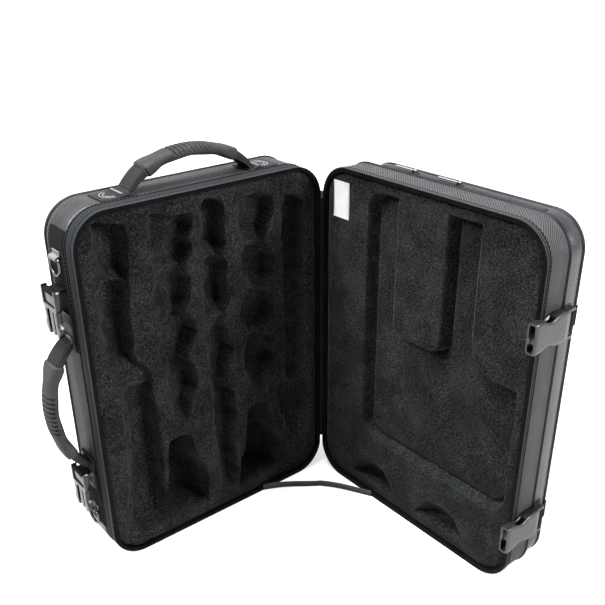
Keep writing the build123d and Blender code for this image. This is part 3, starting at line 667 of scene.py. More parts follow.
def rounded_box(a, b, low_a, high_a, low_b, high_b, radius):
    """Signed distance inside a rounded rectangle, positive within."""
    out_a = np.abs(a - (low_a + high_a) / 2) - (high_a - low_a) / 2 + radius
    out_b = np.abs(b - (low_b + high_b) / 2) - (high_b - low_b) / 2 + radius
    outside = np.hypot(np.maximum(out_a, 0), np.maximum(out_b, 0))
    return radius - outside - np.minimum(np.maximum(out_a, out_b), 0)


# ---- plush linings ------------------------------------------------------------------------------
PLUSH_FILL = 0.70             # the pile and its wadding take up the rest of a hollow
PLUSH_DEEPEST = 38.0
END_SLANT = 0.28              # how steeply the ends of a hollow run across it
END_SLANT_REACH = 34.0
END_SLANT_LEVEL = 24.0
BELL_CENTRES = (90.7, 195.1)
BELL_FOOT = 18.3
BELL_LENGTH = 105.0
BELL_FLARE = 31.0
BELL_NECK = 13.0
BELL_DEPTH = 52.0
LINING_SPACING = 1.4
LINING_COLUMNS = 205


def trough(a, b, stations, near_bank, far_bank):
    """Depth of a trough from stations (height, near edge, far edge, depth): steep at its near edge,
    soft and creased at its far one."""
    stations = np.array(sorted(stations), float)
    near = np.interp(b, stations[:, 0], stations[:, 1])
    far = np.interp(b, stations[:, 0], stations[:, 2])
    slanted = b + END_SLANT * (np.clip(far - a, 0.0, END_SLANT_REACH) - END_SLANT_LEVEL)
    depth = np.interp(slanted, stations[:, 0], stations[:, 3], left=0.0, right=0.0)
    near = near - 2.5 + 0.7 * np.sin(b / 9.0 + near) + 0.4 * np.sin(b / 4.1)
    far = far + 0.32 * far_bank + 0.8 * np.sin(b / 8.0 - far)
    slope = smooth((far - a) / far_bank) ** 1.2
    crease = np.sin(b / 6.2 - a / 6.5 + 1.7 * np.sin(b / 21.0 + far)) * np.sin(b / 13.0 - a / 17.0)
    flat = PLUSH_DEEPEST * np.tanh(1.35 * depth / PLUSH_DEEPEST)
    sunk = PLUSH_FILL * flat * smooth((a - near) / near_bank) * slope
    return sunk + 4.6 * crease * np.clip(sunk / 9.0, 0, 1) * 4 * slope * (1 - slope)


def bell_pocket(a, b, centre):
    """The tent-shaped pocket of a bell: round in section, flare down."""
    rise = b - BELL_FOOT
    halves = [BELL_FLARE, 0.93 * BELL_FLARE, 0.62 * BELL_FLARE, BELL_NECK]
    half = np.interp(rise / BELL_LENGTH, [0.0, 0.34, 0.62, 1.0], halves)
    side = np.clip(np.abs(a - centre - 2.0 * np.sin(b / 14.0)) / half, 0.0, 1.0)
    ends = smooth((rise + 1) / 7.0) * smooth((BELL_LENGTH - rise) / 16.0)
    return BELL_DEPTH * np.sqrt(1 - side ** 2) ** 0.9 * ends


def bell_bowl(a, b, centre):
    """The shallow bowl in the lid over a bell's flare."""
    radius = np.interp(b, [BELL_FOOT, BELL_FOOT + 34.0], [40.0, 18.0])
    span = np.clip(1 - ((a - centre) / radius) ** 2, 0.0, 1.0)
    bowl = (radius * np.sqrt(span) - 17.0) * smooth((b - 17.0) / 3.5) * smooth((53.0 - b) / 20.0)
    return np.clip(bowl, 0.0, 23.0)


MOUTHPIECE_COLUMN = [
    (373, 238, 266, 0), (369, 236, 267, 36), (350, 236, 267, 40), (328, 236, 267, 38), (322, 238, 266, 24),
    (316, 240, 265, 9), (311, 240, 268, 26), (304, 240, 270, 40), (252, 242, 270, 40), (238, 244, 268, 32),
    (230, 240, 268, 13), (216, 228, 262, 6), (202, 224, 258, 10), (190, 226, 258, 26), (150, 224, 257, 38),
    (96, 222, 260, 40), (48, 226, 266, 38), (26, 228, 266, 32), (19, 232, 262, 0)]
SECOND_JOINT_COLUMN = [
    (371, 172, 208, 0), (366, 166, 212, 20), (356, 165, 211, 30), (344, 170, 214, 26), (334, 168, 206, 34),
    (322, 172, 210, 28), (316, 176, 204, 12), (309, 176, 206, 18), (296, 170, 210, 36), (280, 174, 214, 40),
    (266, 180, 208, 30), (254, 172, 204, 22), (240, 168, 208, 38), (226, 176, 213, 40), (212, 182, 206, 28),
    (200, 174, 204, 36), (178, 172, 206, 40), (162, 180, 204, 34), (150, 184, 202, 26), (138, 186, 200, 8),
    (132, 188, 198, 0)]
BARREL_COLUMN = [
    (373, 130, 150, 0), (369, 127, 152, 34), (326, 127, 152, 38), (319, 129, 152, 22), (313, 130, 150, 8),
    (307, 128, 152, 26), (300, 127, 153, 38), (262, 127, 153, 38), (254, 130, 154, 22), (247, 130, 150, 7),
    (238, 132, 150, 12), (222, 128, 152, 30), (204, 122, 150, 38), (186, 130, 154, 34), (168, 134, 152, 24),
    (150, 126, 150, 36), (120, 124, 152, 38), (92, 130, 150, 30), (70, 128, 148, 36), (44, 126, 150, 36),
    (28, 130, 148, 28), (20, 132, 146, 0)]
FIRST_JOINT_COLUMN = [
    (370, 74, 98, 0), (364, 66, 106, 24), (350, 64, 104, 36), (336, 70, 108, 34), (324, 76, 102, 20),
    (317, 78, 100, 10), (308, 72, 106, 26), (294, 64, 108, 38), (280, 66, 100, 36), (270, 74, 98, 18),
    (264, 78, 98, 10), (256, 70, 104, 26), (240, 66, 110, 38), (226, 70, 106, 34), (216, 78, 98, 16),
    (210, 80, 100, 12), (200, 70, 104, 30), (176, 66, 108, 40), (158, 72, 104, 34), (146, 80, 98, 22),
    (136, 84, 98, 8), (131, 86, 96, 0)]
SLOT_COLUMN = [
    (357, 26, 46, 0), (352, 22, 49, 34), (330, 21, 50, 38), (240, 22, 50, 38), (160, 21, 49, 38),
    (138, 22, 47, 28), (129, 26, 44, 0)]
SPINE_DISH = [
    (146, 22, 58, 0), (132, 16, 66, 7), (104, 14, 62, 12), (72, 16, 52, 12), (50, 20, 48, 7), (40, 24, 44, 0)]


def base_cavity_depth(a, b):
    """How far the base's plush lies behind its face."""
    depth = trough(a, b, SPINE_DISH, 12.0, 14.0)
    depth = np.maximum(depth, trough(a, b, SLOT_COLUMN, 6.0, 7.0))
    for stations in (MOUTHPIECE_COLUMN, SECOND_JOINT_COLUMN, BARREL_COLUMN, FIRST_JOINT_COLUMN):
        depth = np.maximum(depth, trough(a, b, stations, 2.0, 24.0))
    for centre in BELL_CENTRES:
        depth = np.maximum(depth, bell_pocket(a, b, centre))
    return depth


# low_a, high_a, low_b, high_b and radius of the lid's wide bay and of the two flaps that hang into it
LID_BAY = (69.3, 273.5, 80.0, 373.7, 22.0)
LID_FLAPS = ((110.3, 177.3, 225.0, 420.0, 15.0), (215.3, 330.0, 225.0, 420.0, 34.0))
LID_BAY_DEPTH = 12.5
LID_CREASE = 3.2


def lid_cavity_depth(a, b):
    """How far the lid's plush lies behind its face: stepped bay, creased at its edge, and two bell bowls."""
    inside = rounded_box(a, b, *LID_BAY)
    for flap in LID_FLAPS:
        inside = np.minimum(inside, -rounded_box(a, b, *flap))
    depth = LID_BAY_DEPTH * smooth((inside + 1.0) / 3.2)
    depth += LID_CREASE * np.exp(-((inside - 3.2) / 1.9) ** 2) * (inside > -1.0)
    for centre in BELL_CENTRES:
        depth = np.maximum(depth, bell_bowl(a, b, centre))
    return depth


def pile_waves(a, b, folds):
    """Slow waves of the wadding, with folds pulled into it here and there."""
    waves = 0.45 * np.sin(a / 11.0 + 1.3 * np.sin(b / 17.0)) * np.sin(b / 13.0 + 1.1 * np.sin(a / 19.0))
    pulled = (1 - np.abs(np.sin(a / 15.0 + b / 23.0 + 1.6 * np.sin(b / 31.0 - a / 27.0)))) ** 3
    return waves + folds * pulled * smooth(np.sin(a / 37.0 - b / 29.0) + 0.6)


def lining_heights(low, high, radius):
    """Heights of a lining's rows: closer towards its ends, even between them."""
    turn = radius * (1 - np.cos(np.linspace(0.0, pi / 2, 24)))
    between = np.arange(low + radius + LINING_SPACING, high - radius, LINING_SPACING)
    return np.concatenate([low + turn, between, (high - turn)[::-1]])


def lining_mesh(shell, depth_at, back, folds):
    """A closed foam block with a plush face that follows depth_at."""
    sides = drawn_in(SHELL_SIDES, LINING_INSET)
    a, b = rounded_sheet(sides, lining_heights(*sides[2:]), LINING_COLUMNS)
    edge = np.clip(rounded_box(a, b, *sides) / 7.0, 0, 1)
    roll = 3.2 * (1 - np.sqrt(np.clip(1 - (1 - edge) ** 2, 0, 1)))
    face = LINING_FACE + depth_at(a, b) + pile_waves(a, b, folds) + 0.45 + roll
    front = on_shell(shell, a, b, face).reshape(-1, 3)
    rim = border(*a.shape)
    rear = on_shell(shell, a.ravel()[rim], b.ravel()[rim], back)
    faces = grid(*a.shape)
    first = len(front)
    for index, here in enumerate(rim):
        beside = (index + 1) % len(rim)
        faces.append((rim[beside], here, first + index, first + beside))
    faces.append(tuple(range(first, first + len(rim))))
    points = np.vstack([front, rear])
    made = piece(f"{shell}_plush", points, faces, "plush", shell, (f"{shell}_lining",), sharp=80.0)


def make_linings():
    """The fitted plush of both shells."""
    lining_mesh("base", base_cavity_depth, 66.5, 2.4)
    lining_mesh("lid", lid_cavity_depth, 33.0, 0.3)


# ---- shells -------------------------------------------------------------------------------------
OUTLINE_STEP = 4.0
COIL_STEP = 0.75              # half a tooth of the zipper's coil
SHOULDER = 10.0


def shell_panel(name, shell, sides, front, back, dome, nodes=()):
    """A stiff rounded cloth panel that swells a little in the middle, closed at its front."""
    a, b = rounded_sheet(sides, np.linspace(sides[2], sides[3], 61), 41)
    swell = dome * smooth(rounded_box(a, b, *sides) / 60.0) ** 0.7
    points = np.vstack([on_shell(shell, a, b, depth).reshape(-1, 3) for depth in (back + swell, front)])
    count = a.size
    faces = grid(*a.shape)
    faces += [tuple(count + corner for corner in reversed(quad)) for quad in faces]
    rim = border(*a.shape)
    faces += [(beside, here, count + here, count + beside) for here, beside in zip(rim, rim[1:] + rim[:1])]
    flat = np.stack([b.ravel(), a.ravel()], 1)
    lay = [[flat[corner % count] for corner in corners] for corners in faces]
    piece(name, points, faces, "panel_twill", shell, nodes, lay)


def make_rim(shell, outline, back, rise, coil_rise, rib, nodes):
    """A shell's bound edge, with a row of zipper coil at its front and at its back."""
    binding = half_round(RIM_GAP, back, rise, 3.9)
    swept_band(f"{shell}_binding", shell, outline, binding, "binding", nodes)
    fine = Outline(SHELL_SIDES, COIL_STEP)
    for row, front in (("front", 1.3), ("back", 3.9)):
        coil = half_round(front, front + 0.9, coil_rise, 1.2)
        swept_band(f"{shell}_coil_{row}", shell, fine, coil, "coil", (), rib)


def make_base_shell():
    """The base's cloth wall, back, zipper, seam and piping."""
    outline = Outline(SHELL_SIDES, OUTLINE_STEP)
    turns = np.linspace(0.05, pi / 2, 9)
    shoulder = [(SHOULDER * (1 - cos(turn)), BASE_DEPTH - SHOULDER * (1 - sin(turn))) for turn in turns]
    wall = [(0.7, 18.4), (0.0, 19.4), (0.0, 40.0), (0.0, 58.2), (1.2, 58.8), (1.2, 61.2), *shoulder,
            (13.0, BASE_DEPTH), (13.0, BASE_DEPTH - 3), (4.0, BASE_DEPTH - 12), (4.0, 18.4)]
    swept_band("base_wall", "base", outline, wall, "twill", ("base_shell",))
    shell_panel("base_back", "base", drawn_in(SHELL_SIDES, 12.5), BASE_DEPTH - 3, BASE_DEPTH, 0.9)
    make_rim("base", outline, 5.2, 0.04, 0.1, 0.14, ("base_rim_binding",))
    groove = [(0.9, 5.1), (0.9, 7.0), (3.8, 7.0), (3.8, 5.1)]
    swept_band("base_groove", "base", outline, groove, "seam")
    tape = [(0.3, 6.8), (-0.1, 7.6), (-0.15, 12.0), (-0.1, 16.4), (0.3, 17.2), (1.5, 17.2), (1.5, 6.8)]
    swept_band("base_tape", "base", outline, tape, "zipper_tape", ("base_zipper_tape",))
    swept_band("base_seam", "base", outline, half_round(17.0, 19.8, 0.75, 2.0), "seam")
    sewn_line("base_seam_stitches", "base", outline, -0.85, 18.4, 4.2)
    sewn_line("base_tape_stitches", "base", outline, -0.15, 15.6, 3.4, 2.2, 0.5)
    cord = tube_section(0.4, 60.0, 1.9)
    swept_band("base_piping_cord", "base", outline, cord, "piping", ("base_piping",))
    back_line = Outline(drawn_in(SHELL_SIDES, 13.5), OUTLINE_STEP)
    sewn_line("base_back_stitches", "base", back_line, 0.0, BASE_DEPTH + 0.15, 4.0, flat=True)


def make_lid_shell():
    """The lid's cloth wall, back, zipper, seam and piping."""
    outline = Outline(SHELL_SIDES, OUTLINE_STEP)
    wall = [(0.7, 7.8), (0.0, 8.8), (0.0, 20.0), (0.0, 32.6), (1.1, 33.2), (1.1, 36.0), (0.8, 36.8),
            (1.6, 37.7), (3.0, LID_DEPTH), (8.0, LID_DEPTH), (8.0, 35.0), (4.0, 33.0), (4.0, 7.8)]
    swept_band("lid_wall", "lid", outline, wall, "twill", ("lid_shell",))
    shell_panel("lid_back", "lid", drawn_in(SHELL_SIDES, 7.5), 35.0, LID_DEPTH, 0.0)
    make_rim("lid", outline, 5.4, 0.3, 0.7, 0.35, ("lid_rim_binding", "lid_zipper_tape"))
    swept_band("lid_seam", "lid", outline, half_round(5.4, 8.4, 0.6, 2.0), "seam")
    sewn_line("lid_seam_stitches", "lid", outline, -0.7, 6.9, 4.2)
    cord = tube_section(0.5, 34.6, 1.9)
    swept_band("lid_piping_cord", "lid", outline, cord, "piping", ("lid_piping",))
    sewn_line("lid_wall_stitches", "lid", outline, -0.05, 30.4, 4.0, 2.4, 0.5)


def make_music_pocket():
    """The pocket on the lid's back: glossy gusset, piping and padded panel."""
    outline = Outline(POCKET_SIDES, OUTLINE_STEP)
    gusset = [(0.0, 38.1), (-0.3, 42.0), (-0.5, 47.0), (-0.3, 53.0), (0.3, 57.2), (1.8, 57.2), (1.8, 38.1)]
    swept_band("pocket_side", "lid", outline, gusset, "gusset_vinyl", ("pocket_gusset",))
    cord = tube_section(0.9, 58.0, 1.95)
    swept_band("pocket_piping_cord", "lid", outline, cord, "dark_piping", ("pocket_piping",))
    shell_panel("pocket_front", "lid", drawn_in(POCKET_SIDES, 1.6), 56.4, 58.4, 1.5, ("pocket_panel",))
    inner = Outline(drawn_in(POCKET_SIDES, 7.0), OUTLINE_STEP)
    sewn_line("pocket_stitches", "lid", inner, 0.0, 58.75, 4.0, flat=True)
    sewn_line("gusset_stitches", "lid", outline, 0.15, 54.8, 4.0, 2.4, 0.5)


def make_pocket_zipper():
    """Tape and ribbed coil along the pocket's top."""
    low, high = node_box("pocket_zipper")
    along = np.arange(low[1], high[1], COIL_STEP)
    middle = np.full_like(along, (low[0] + high[0]) / 2)
    tape_top = np.full_like(along, high[2] + 0.35)
    tape = np.stack([middle, along, tape_top], 1)[::6]
    flat_strap("pocket_zipper_tape", tape, (1, 0, 0), 9.0, 0.7, "zipper_tape", "lid",
               ("pocket_zipper",))
    coil_top = high[2] + 0.85 + 0.2 * (np.arange(len(along)) % 2)
    coil = np.stack([middle, along, coil_top], 1)
    flat_strap("pocket_zipper_coil", coil, (1, 0, 0), 3.0, 0.9, "dark_coil", "lid")


# ---- straps -------------------------------------------------------------------------------------
def strap_section(width, thickness):
    """Rounded rectangle section of a strap, as (across, out) points."""
    half, rise = width / 2, thickness / 2
    nick = min(0.35 * thickness, 0.5)
    across = np.linspace(-half + nick, half - nick, max(3, int(width / 4)))
    top = [(value, rise) for value in across]
    bottom = [(value, -rise) for value in across[::-1]]
    return np.array([(-half, rise - nick), *top, (half, rise - nick), (half, nick - rise), *bottom,
                     (-half, nick - rise)])


def flat_strap(name, centre, side, width, thickness, finish, body, replaces=(), widths=None,
               thicken=None):
    """A strap along a centre line in world millimetres; side is the direction across it."""
    centre = np.asarray(centre, float)
    side = unit(np.asarray(side, float))
    out = unit(np.cross(unit(np.gradient(centre, axis=0)), side))
    section = strap_section(width, thickness)
    count = len(centre)
    ring = len(section)
    scale = np.ones(count) if widths is None else np.asarray(widths, float) / width
    swell = np.ones(count) if thicken is None else np.asarray(thicken, float)
    points = (centre[:, None, :] + scale[:, None, None] * section[None, :, 0, None] * side[None, None, :]
              + swell[:, None, None] * section[None, :, 1, None] * out[:, None, :])
    faces = grid(count, ring, False, True)
    along = running_length(centre, False)
    across = np.append(section[:, 0], section[0, 0])
    lay = grid_lay(count, ring, along, across, False, True)
    for row in (0, count - 1):
        faces.append(tuple(range(row * ring, (row + 1) * ring)))
        lay.append([(along[row], value) for value in section[:, 0]])
    return piece(name, points.reshape(-1, 3) * MM, faces, finish, body, replaces, lay, 50.0)


def make_edge_straps():
    """Webbing sewn to the base's free edge, with boxed stitching."""
    for name in ("edge_strap_upper", "edge_strap_lower"):
        low, high = node_box(name)
        size = high - low
        middle = (low + high) / 2
        centre = [(middle[0], middle[1], height) for height in np.linspace(low[2], high[2], 40)]
        flat_strap(name.replace("strap", "webbing"), centre, (0, 1, 0), size[1], size[0], "webbing", "base",
                   (name,))
        box_stitches(f"{name}_stitches", low + (-0.15, 2.5, 2.5), ((0, 1, 0), (0, 0, 1), (-1, 0, 0)),
                     size[1] - 5, size[2] - 5, 3.6, "base")


WEBBING_THICKNESS = 1.2


def make_ring_loop(where):
    """The tab folded through a D-ring."""
    x, y, z = joint_place(f"ring_{where}_swing")
    node = f"d_ring_tab_{where}"
    low, high = node_box(node)
    wall, top = high[0], high[2]
    eye = 2.2
    line = arc_points((x, z), eye, 300.0, 90.0, 22)
    line += [(wall - 1.0, z + eye + 0.3), (wall - 0.7, top - 1.0), (wall - 0.7, top + 1.5)]
    points = evened([(forward, y, up) for forward, up in line], 44)
    flat_strap(f"ring_loop_{where}", points, (0, 1, 0), high[1] - low[1], WEBBING_THICKNESS, "ring_webbing",
               "base", (node,))


def make_plug_loop(where):
    """The tab that comes out from the wall, goes round a plug's bar and back."""
    x, y, z = joint_place(f"plug_{where}_swing")
    node = f"plug_tab_{where}"
    low, high = node_box(node)
    wall = high[0]
    neck = x + 0.55 * (wall - x)
    half_gap = 0.7
    line = [(wall, z - half_gap), (neck, z - half_gap), *arc_points((x, z), 2.35, 125.0, 235.0, 15),
            (neck, z + half_gap), (wall, z + half_gap)]
    points = evened([(forward, y, up) for forward, up in line], 40)
    flat_strap(f"plug_loop_{where}", points, (0, 1, 0), high[1] - low[1], WEBBING_THICKNESS, "webbing",
               "base", (node,))


def make_socket_webbing(where):
    """Webbing round a socket's bar and back along the pocket's side, sewn down at its end."""
    x, y, z = joint_place(f"socket_{where}_swing")
    node = f"socket_webbing_{where}"
    low, high = node_box(node)
    line = [(x - 1.0, high[1] - 3.4), *arc_points((x, y), 2.3, 60.0, 270.0, 20), (x + 4.0, y - 1.6),
            (x + 8.0, y + 2.6), (high[0] - 1.0, y + 3.8), (high[0] + 1.5, y + 4.6)]
    points = evened([(forward, aside, z) for forward, aside in line], 48)
    width = high[2] - low[2]
    flat_strap(f"socket_strap_{where}", points, (0, 0, 1), width, WEBBING_THICKNESS, "webbing", "lid",
               (node,))
    corner = (high[0] - 7.0, low[1] + 5.4, low[2] + 2.0)
    box_stitches(f"socket_strap_{where}_stitches", corner, ((1, 0, 0), (0, 0, 1), (0, -1, 0)), 5.5,
                 width - 4, 2.4, "lid")


def make_spine_tape():
    """The hinge tape inside the spine's corner."""
    low, high = node_box("spine_hinge_tape")
    middle = (low[2] + high[2]) / 2
    fold = HINGE_X - SPINE_GAP + 0.45
    corner = HINGE_Y - SPINE_GAP + 0.45
    line = [(fold, y) for y in np.linspace(high[1], HINGE_Y + 1.5, 15)]
    for turn in np.radians((20, 45, 70)):
        line.append((fold + 1.4 - 1.4 * cos(turn), corner + 1.6 - 1.6 * sin(turn)))
    line += [(x, corner) for x in np.linspace(HINGE_X + 1.5, HINGE_X + high[1] - HINGE_Y, 15)]
    points = [(x, y, middle) for x, y in line]
    tape = flat_strap("spine_tape", points, (0, 0, 1), high[2] - low[2], 0.9, "webbing", None,
                      ("spine_hinge_tape",))
    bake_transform(tape)


def make_zipper_tail():
    """The zipper's two free tape ends, which meet in front of the spine."""
    low, high = node_box("zipper_tail")
    middle = (low[2] + high[2]) / 2
    tip_reach = 36.0
    base_root = np.array([low[0], HINGE_Y + 0.3])
    tip = np.array([HINGE_X - tip_reach, HINGE_Y - tip_reach])
    lid_root = np.array([HINGE_X + 0.3, low[1]])
    shares = np.linspace(0, 1, 30)
    line = []
    for start, end, steps in ((base_root, tip, shares), (tip, lid_root, shares[1:])):
        run = end - start
        across = unit(np.array([-run[1], run[0]]))
        for share in steps:
            bowed = start + share * run + across * 1.6 * sin(pi * share)
            line.append((*bowed, middle + 0.8 * sin(5 * share)))
    tail = flat_strap("zipper_tail_tape", line, (0, 0, 1), high[2] - low[2], 1.5, "tail_weave", None,
                      ("zipper_tail",))
    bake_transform(tail)


# ---- handles ------------------------------------------------------------------------------------
ANCHOR_THICKNESS = 1.6
GRIP_HALF_CHORD = 52.0
GRIP_SAG = 12.0
GRIP_RISE = 37.0
GRIP_HALF_WIDTH = 13.0
GRIP_HALF_THICKNESS = 6.5
GRIP_RADIUS = (GRIP_HALF_CHORD ** 2 + GRIP_SAG ** 2) / (2 * GRIP_SAG)
GRIP_CENTRE = GRIP_RISE - GRIP_HALF_THICKNESS - GRIP_RADIUS
GRIP_HALF_ANGLE = asin(GRIP_HALF_CHORD / GRIP_RADIUS)
HANDLE_HALF_SPAN = 70.0
RIB_PITCH = 4.9
RIBBED_HALF = 9 * RIB_PITCH / 2


class HandleWall:
    """Where a handle sits: x along its span, y across it, z out of the wall, in millimetres."""

    def __init__(self, joint, along, out):
        self.along = np.array(along, float)
        self.across = np.array((0.0, 1.0, 0.0))
        self.out = np.array(out, float)
        self.origin = joint_place(joint) - self.out * ANCHOR_THICKNESS

    def at(self, x, y, z):
        x, y, z = np.broadcast_arrays(x, y, z)
        return self.origin + x[..., None] * self.along + y[..., None] * self.across + z[..., None] * self.out


def grip_point(angle, y, lift):
    """A point of the grip from the angle along its arc and the height above its centre line."""
    radius = GRIP_RADIUS + lift
    return radius * np.sin(angle), y, GRIP_CENTRE + radius * np.cos(angle)


def grip_section(angle, turns):
    """The grip's section at an angle along its arc: ribbed on its back, scalloped under the fingers,
    flared and then necked at its ends."""
    length = GRIP_RADIUS * angle
    reach = abs(angle) / GRIP_HALF_ANGLE
    flare = smooth((reach - 0.62) / 0.30)
    collar = smooth((reach - 0.965) / 0.03)
    half_width = GRIP_HALF_WIDTH * (0.90 + 0.12 * flare - 0.16 * collar)
    half_high = GRIP_HALF_THICKNESS * (0.92 + 0.10 * flare - 0.25 * collar)
    y, lift = superellipse(turns, half_width, half_high, 2.6 + 1.6 * flare)
    sine = np.sin(turns)
    scallop = 0.35 * np.cos(length / 5.2) * (1 - flare)
    lift = np.where(sine < -0.2, lift + scallop, lift)
    nearest = abs(length / RIB_PITCH - round(length / RIB_PITCH)) * RIB_PITCH
    groove = smooth((1.5 - nearest) / 0.7) if abs(length) < RIBBED_HALF else 0.0
    cut = smooth((sine - 0.02) / 0.22)
    pad = smooth((RIBBED_HALF + 4 - abs(length)) / 4.0)
    inward = 1.0 - 0.20 * groove * cut + 0.04 * pad * cut
    return y * inward, lift * inward - groove * cut


def make_grip(handle, wall):
    """The moulded rubber grip."""
    angles = np.linspace(-GRIP_HALF_ANGLE, GRIP_HALF_ANGLE, 260)
    turns = np.radians(np.arange(0, 360, 10))
    points = [wall.at(*grip_point(angle, *grip_section(angle, turns))) for angle in angles]
    rows, columns = len(angles), len(turns)
    faces = grid(rows, columns, False, True)
    faces += [tuple(range(columns)), tuple(range((rows - 1) * columns, rows * columns))]
    piece(f"{handle}_rubber", np.concatenate(points) * MM, faces, "grip_rubber", handle,
          (f"{handle}_grip",), sharp=42.0)


def make_sleeve(handle, number, wall, side):
    """One woven sleeve from a grip's end down to its anchor."""
    foot = np.array([HANDLE_HALF_SPAN, ANCHOR_THICKNESS + 1.4])
    end = np.array(grip_point(GRIP_HALF_ANGLE * 0.97, 0.0, 0.0))[[0, 2]]
    middle = (foot + end) / 2 + (1.8, 2.0)
    curve = [(1 - t) ** 2 * end + 2 * t * (1 - t) * middle + t ** 2 * foot for t in np.linspace(0, 1, 26)]
    curve += [foot + (2.6, -0.1), foot + (6.0, -0.3)]
    centre = [wall.at(side * x, 0.0, z) for x, z in curve]
    bend = len(centre) - 2
    widths = np.concatenate([np.linspace(21.5, 23.5, bend), [23.0, 21.0]])
    thicken = np.concatenate([np.linspace(1.0, 0.55, bend), [0.40, 0.3]])
    sleeve = flat_strap(f"{handle}_sleeve_{number}", centre, wall.across, 22.0, 8.6, "sleeve_weave", None,
                        (f"{handle}_sleeves",), widths, thicken)
    start = wall.at(side * HANDLE_HALF_SPAN, 0.0, ANCHOR_THICKNESS + 0.5) * MM
    end = wall.at(side * (HANDLE_HALF_SPAN - 9), 0.0, ANCHOR_THICKNESS + 9.0) * MM
    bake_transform(sleeve)


def make_anchor(handle, number, wall, side):
    """A raised vinyl patch with a wrapped sleeve root, two bars and rows of bright stitches."""
    name = f"{handle}_anchor_{number}"
    x = np.linspace(64.0, 102.0, 30)
    hump = 1.1 * np.exp(-((x - 76.0) / 5.0) ** 2)
    centre = wall.at(side * x, 0.0, ANCHOR_THICKNESS / 2 + hump)
    flat_strap(name, centre, wall.across, 29.0, ANCHOR_THICKNESS, "patch_vinyl", "base",
               (f"{handle}_anchors",), None, 1 + 2 * hump / ANCHOR_THICKNESS)
    for bar, (place, height) in enumerate(((73.0, 1.9), (79.0, 1.8)), 1):
        line = wall.at(side * place, np.linspace(-11.5, 11.5, 12), ANCHOR_THICKNESS + height)
        flat_strap(f"{name}_bar_{bar}", line, wall.along, 2.6, 1.2, "bar_vinyl", "base")
    places, directions = [], []
    for radius in (10.5, 7.0):
        for angle in np.radians(np.arange(-84.0, 85.0, 150.0 / radius)):
            x, y = side * (86.0 + radius * cos(angle)), radius * sin(angle)
            places.append(wall.at(x, y, ANCHOR_THICKNESS + 0.2) * MM)
            directions.append(wall.across * cos(angle) - wall.along * side * sin(angle))
    stitch_row(f"{name}_stitches", places, directions, [wall.out] * len(places), 2.2, 1.1, "bright_thread",
               "base")


def make_handles():
    """Top and side handle with their sleeves and anchors."""
    top = HandleWall("top_handle_pivot", (1, 0, 0), (0, 0, 1))
    side = HandleWall("side_handle_pivot", (0, 0, 1), (-1, 0, 0))
    for handle, wall in (("top_handle", top), ("side_handle", side)):
        make_grip(handle, wall)
        for make_end in (make_sleeve, make_anchor):
            make_end(handle, 1, wall, -1)
            make_end(handle, 2, wall, 1)


# ---- buckles ------------------------------------------------------------------------------------
def solid_plate(name, outline, origin, directions, thickness, bevel, finish, body, replaces=()):
    """A flat moulding with softened edges. The outline is in millimetres, right and up from the origin."""
    right, up, out = np.array(directions, float)
    shape = bmesh.new()
    ends = []
    for level in (-0.5, 0.5):
        ring = [shape.verts.new(tuple((origin + right * u + up * v + out * level * thickness) * MM))
                for u, v in outline]
        ends.append(ring)
        shape.faces.new(ring if level > 0 else list(reversed(ring)))
    count = len(outline)
    for index in range(count):
        beside = (index + 1) % count
        shape.faces.new((ends[0][index], ends[0][beside], ends[1][beside], ends[1][index]))
    bmesh.ops.recalc_face_normals(shape, faces=shape.faces)
    edges = [edge for edge in shape.edges if edge.calc_face_angle(0.0) > radians(40)]
    bmesh.ops.bevel(shape, geom=edges, offset=bevel * MM, segments=2, affect="EDGES", profile=0.7)
    points = [tuple(vertex.co) for vertex in shape.verts]
    shape.verts.index_update()
    faces = [tuple(vertex.index for vertex in face.verts) for face in shape.faces]
    shape.free()
    piece(name, points, faces, finish, body, replaces, sharp=40.0)


# right, up and out of each half's outlines
PLUG_DIRECTIONS = ((0, 1, 0), (0, 0, 1), (-1, 0, 0))
SOCKET_DIRECTIONS = ((1, 0, 0), (0, 0, 1), (0, -1, 0))
PLUG_FRAME = [(-14.0, 3.0), (-15.5, 0.0), (-15.5, -16.0), (-13.5, -19.0), (-5.0, -19.6), (-4.0, -18.4),
              (4.0, -18.4), (5.0, -19.6), (13.5, -19.0), (15.5, -16.0), (15.5, 0.0), (14.0, 3.0),
              (12.3, 3.0), (12.3, -14.2), (-12.3, -14.2), (-12.3, 3.0)]
PLUG_WEB = [(-12.5, -3.4), (-12.5, -14.4), (12.5, -14.4), (12.5, -3.4)]
PLUG_ARM = [(7.6, -18.0), (13.4, -18.0), (13.2, -26.0), (12.6, -31.0), (15.6, -35.0), (16.0, -38.5),
            (14.4, -42.0), (11.0, -45.6), (7.8, -46.0), (7.4, -41.0), (8.0, -36.0), (7.4, -28.0)]
PLUG_GUIDE = [(-3.6, -18.0), (3.6, -18.0), (3.6, -41.0), (1.8, -45.5), (-1.8, -45.5), (-3.6, -41.0)]
SOCKET_EAR = [(-9.0, 15.2), (-2.0, 15.5), (2.2, 15.5), (3.2, 14.6), (3.2, 12.4), (-9.0, 12.0)]
BAR_THICKNESS = 3.2


def make_bar(body, pivot, along, half_length, side, finish):
    """The bar that a buckle's webbing goes round."""
    line = [pivot + np.multiply(along, value) for value in np.linspace(-half_length, half_length, 6)]
    flat_strap(f"{body}_bar", line, side, BAR_THICKNESS, BAR_THICKNESS, finish, body)


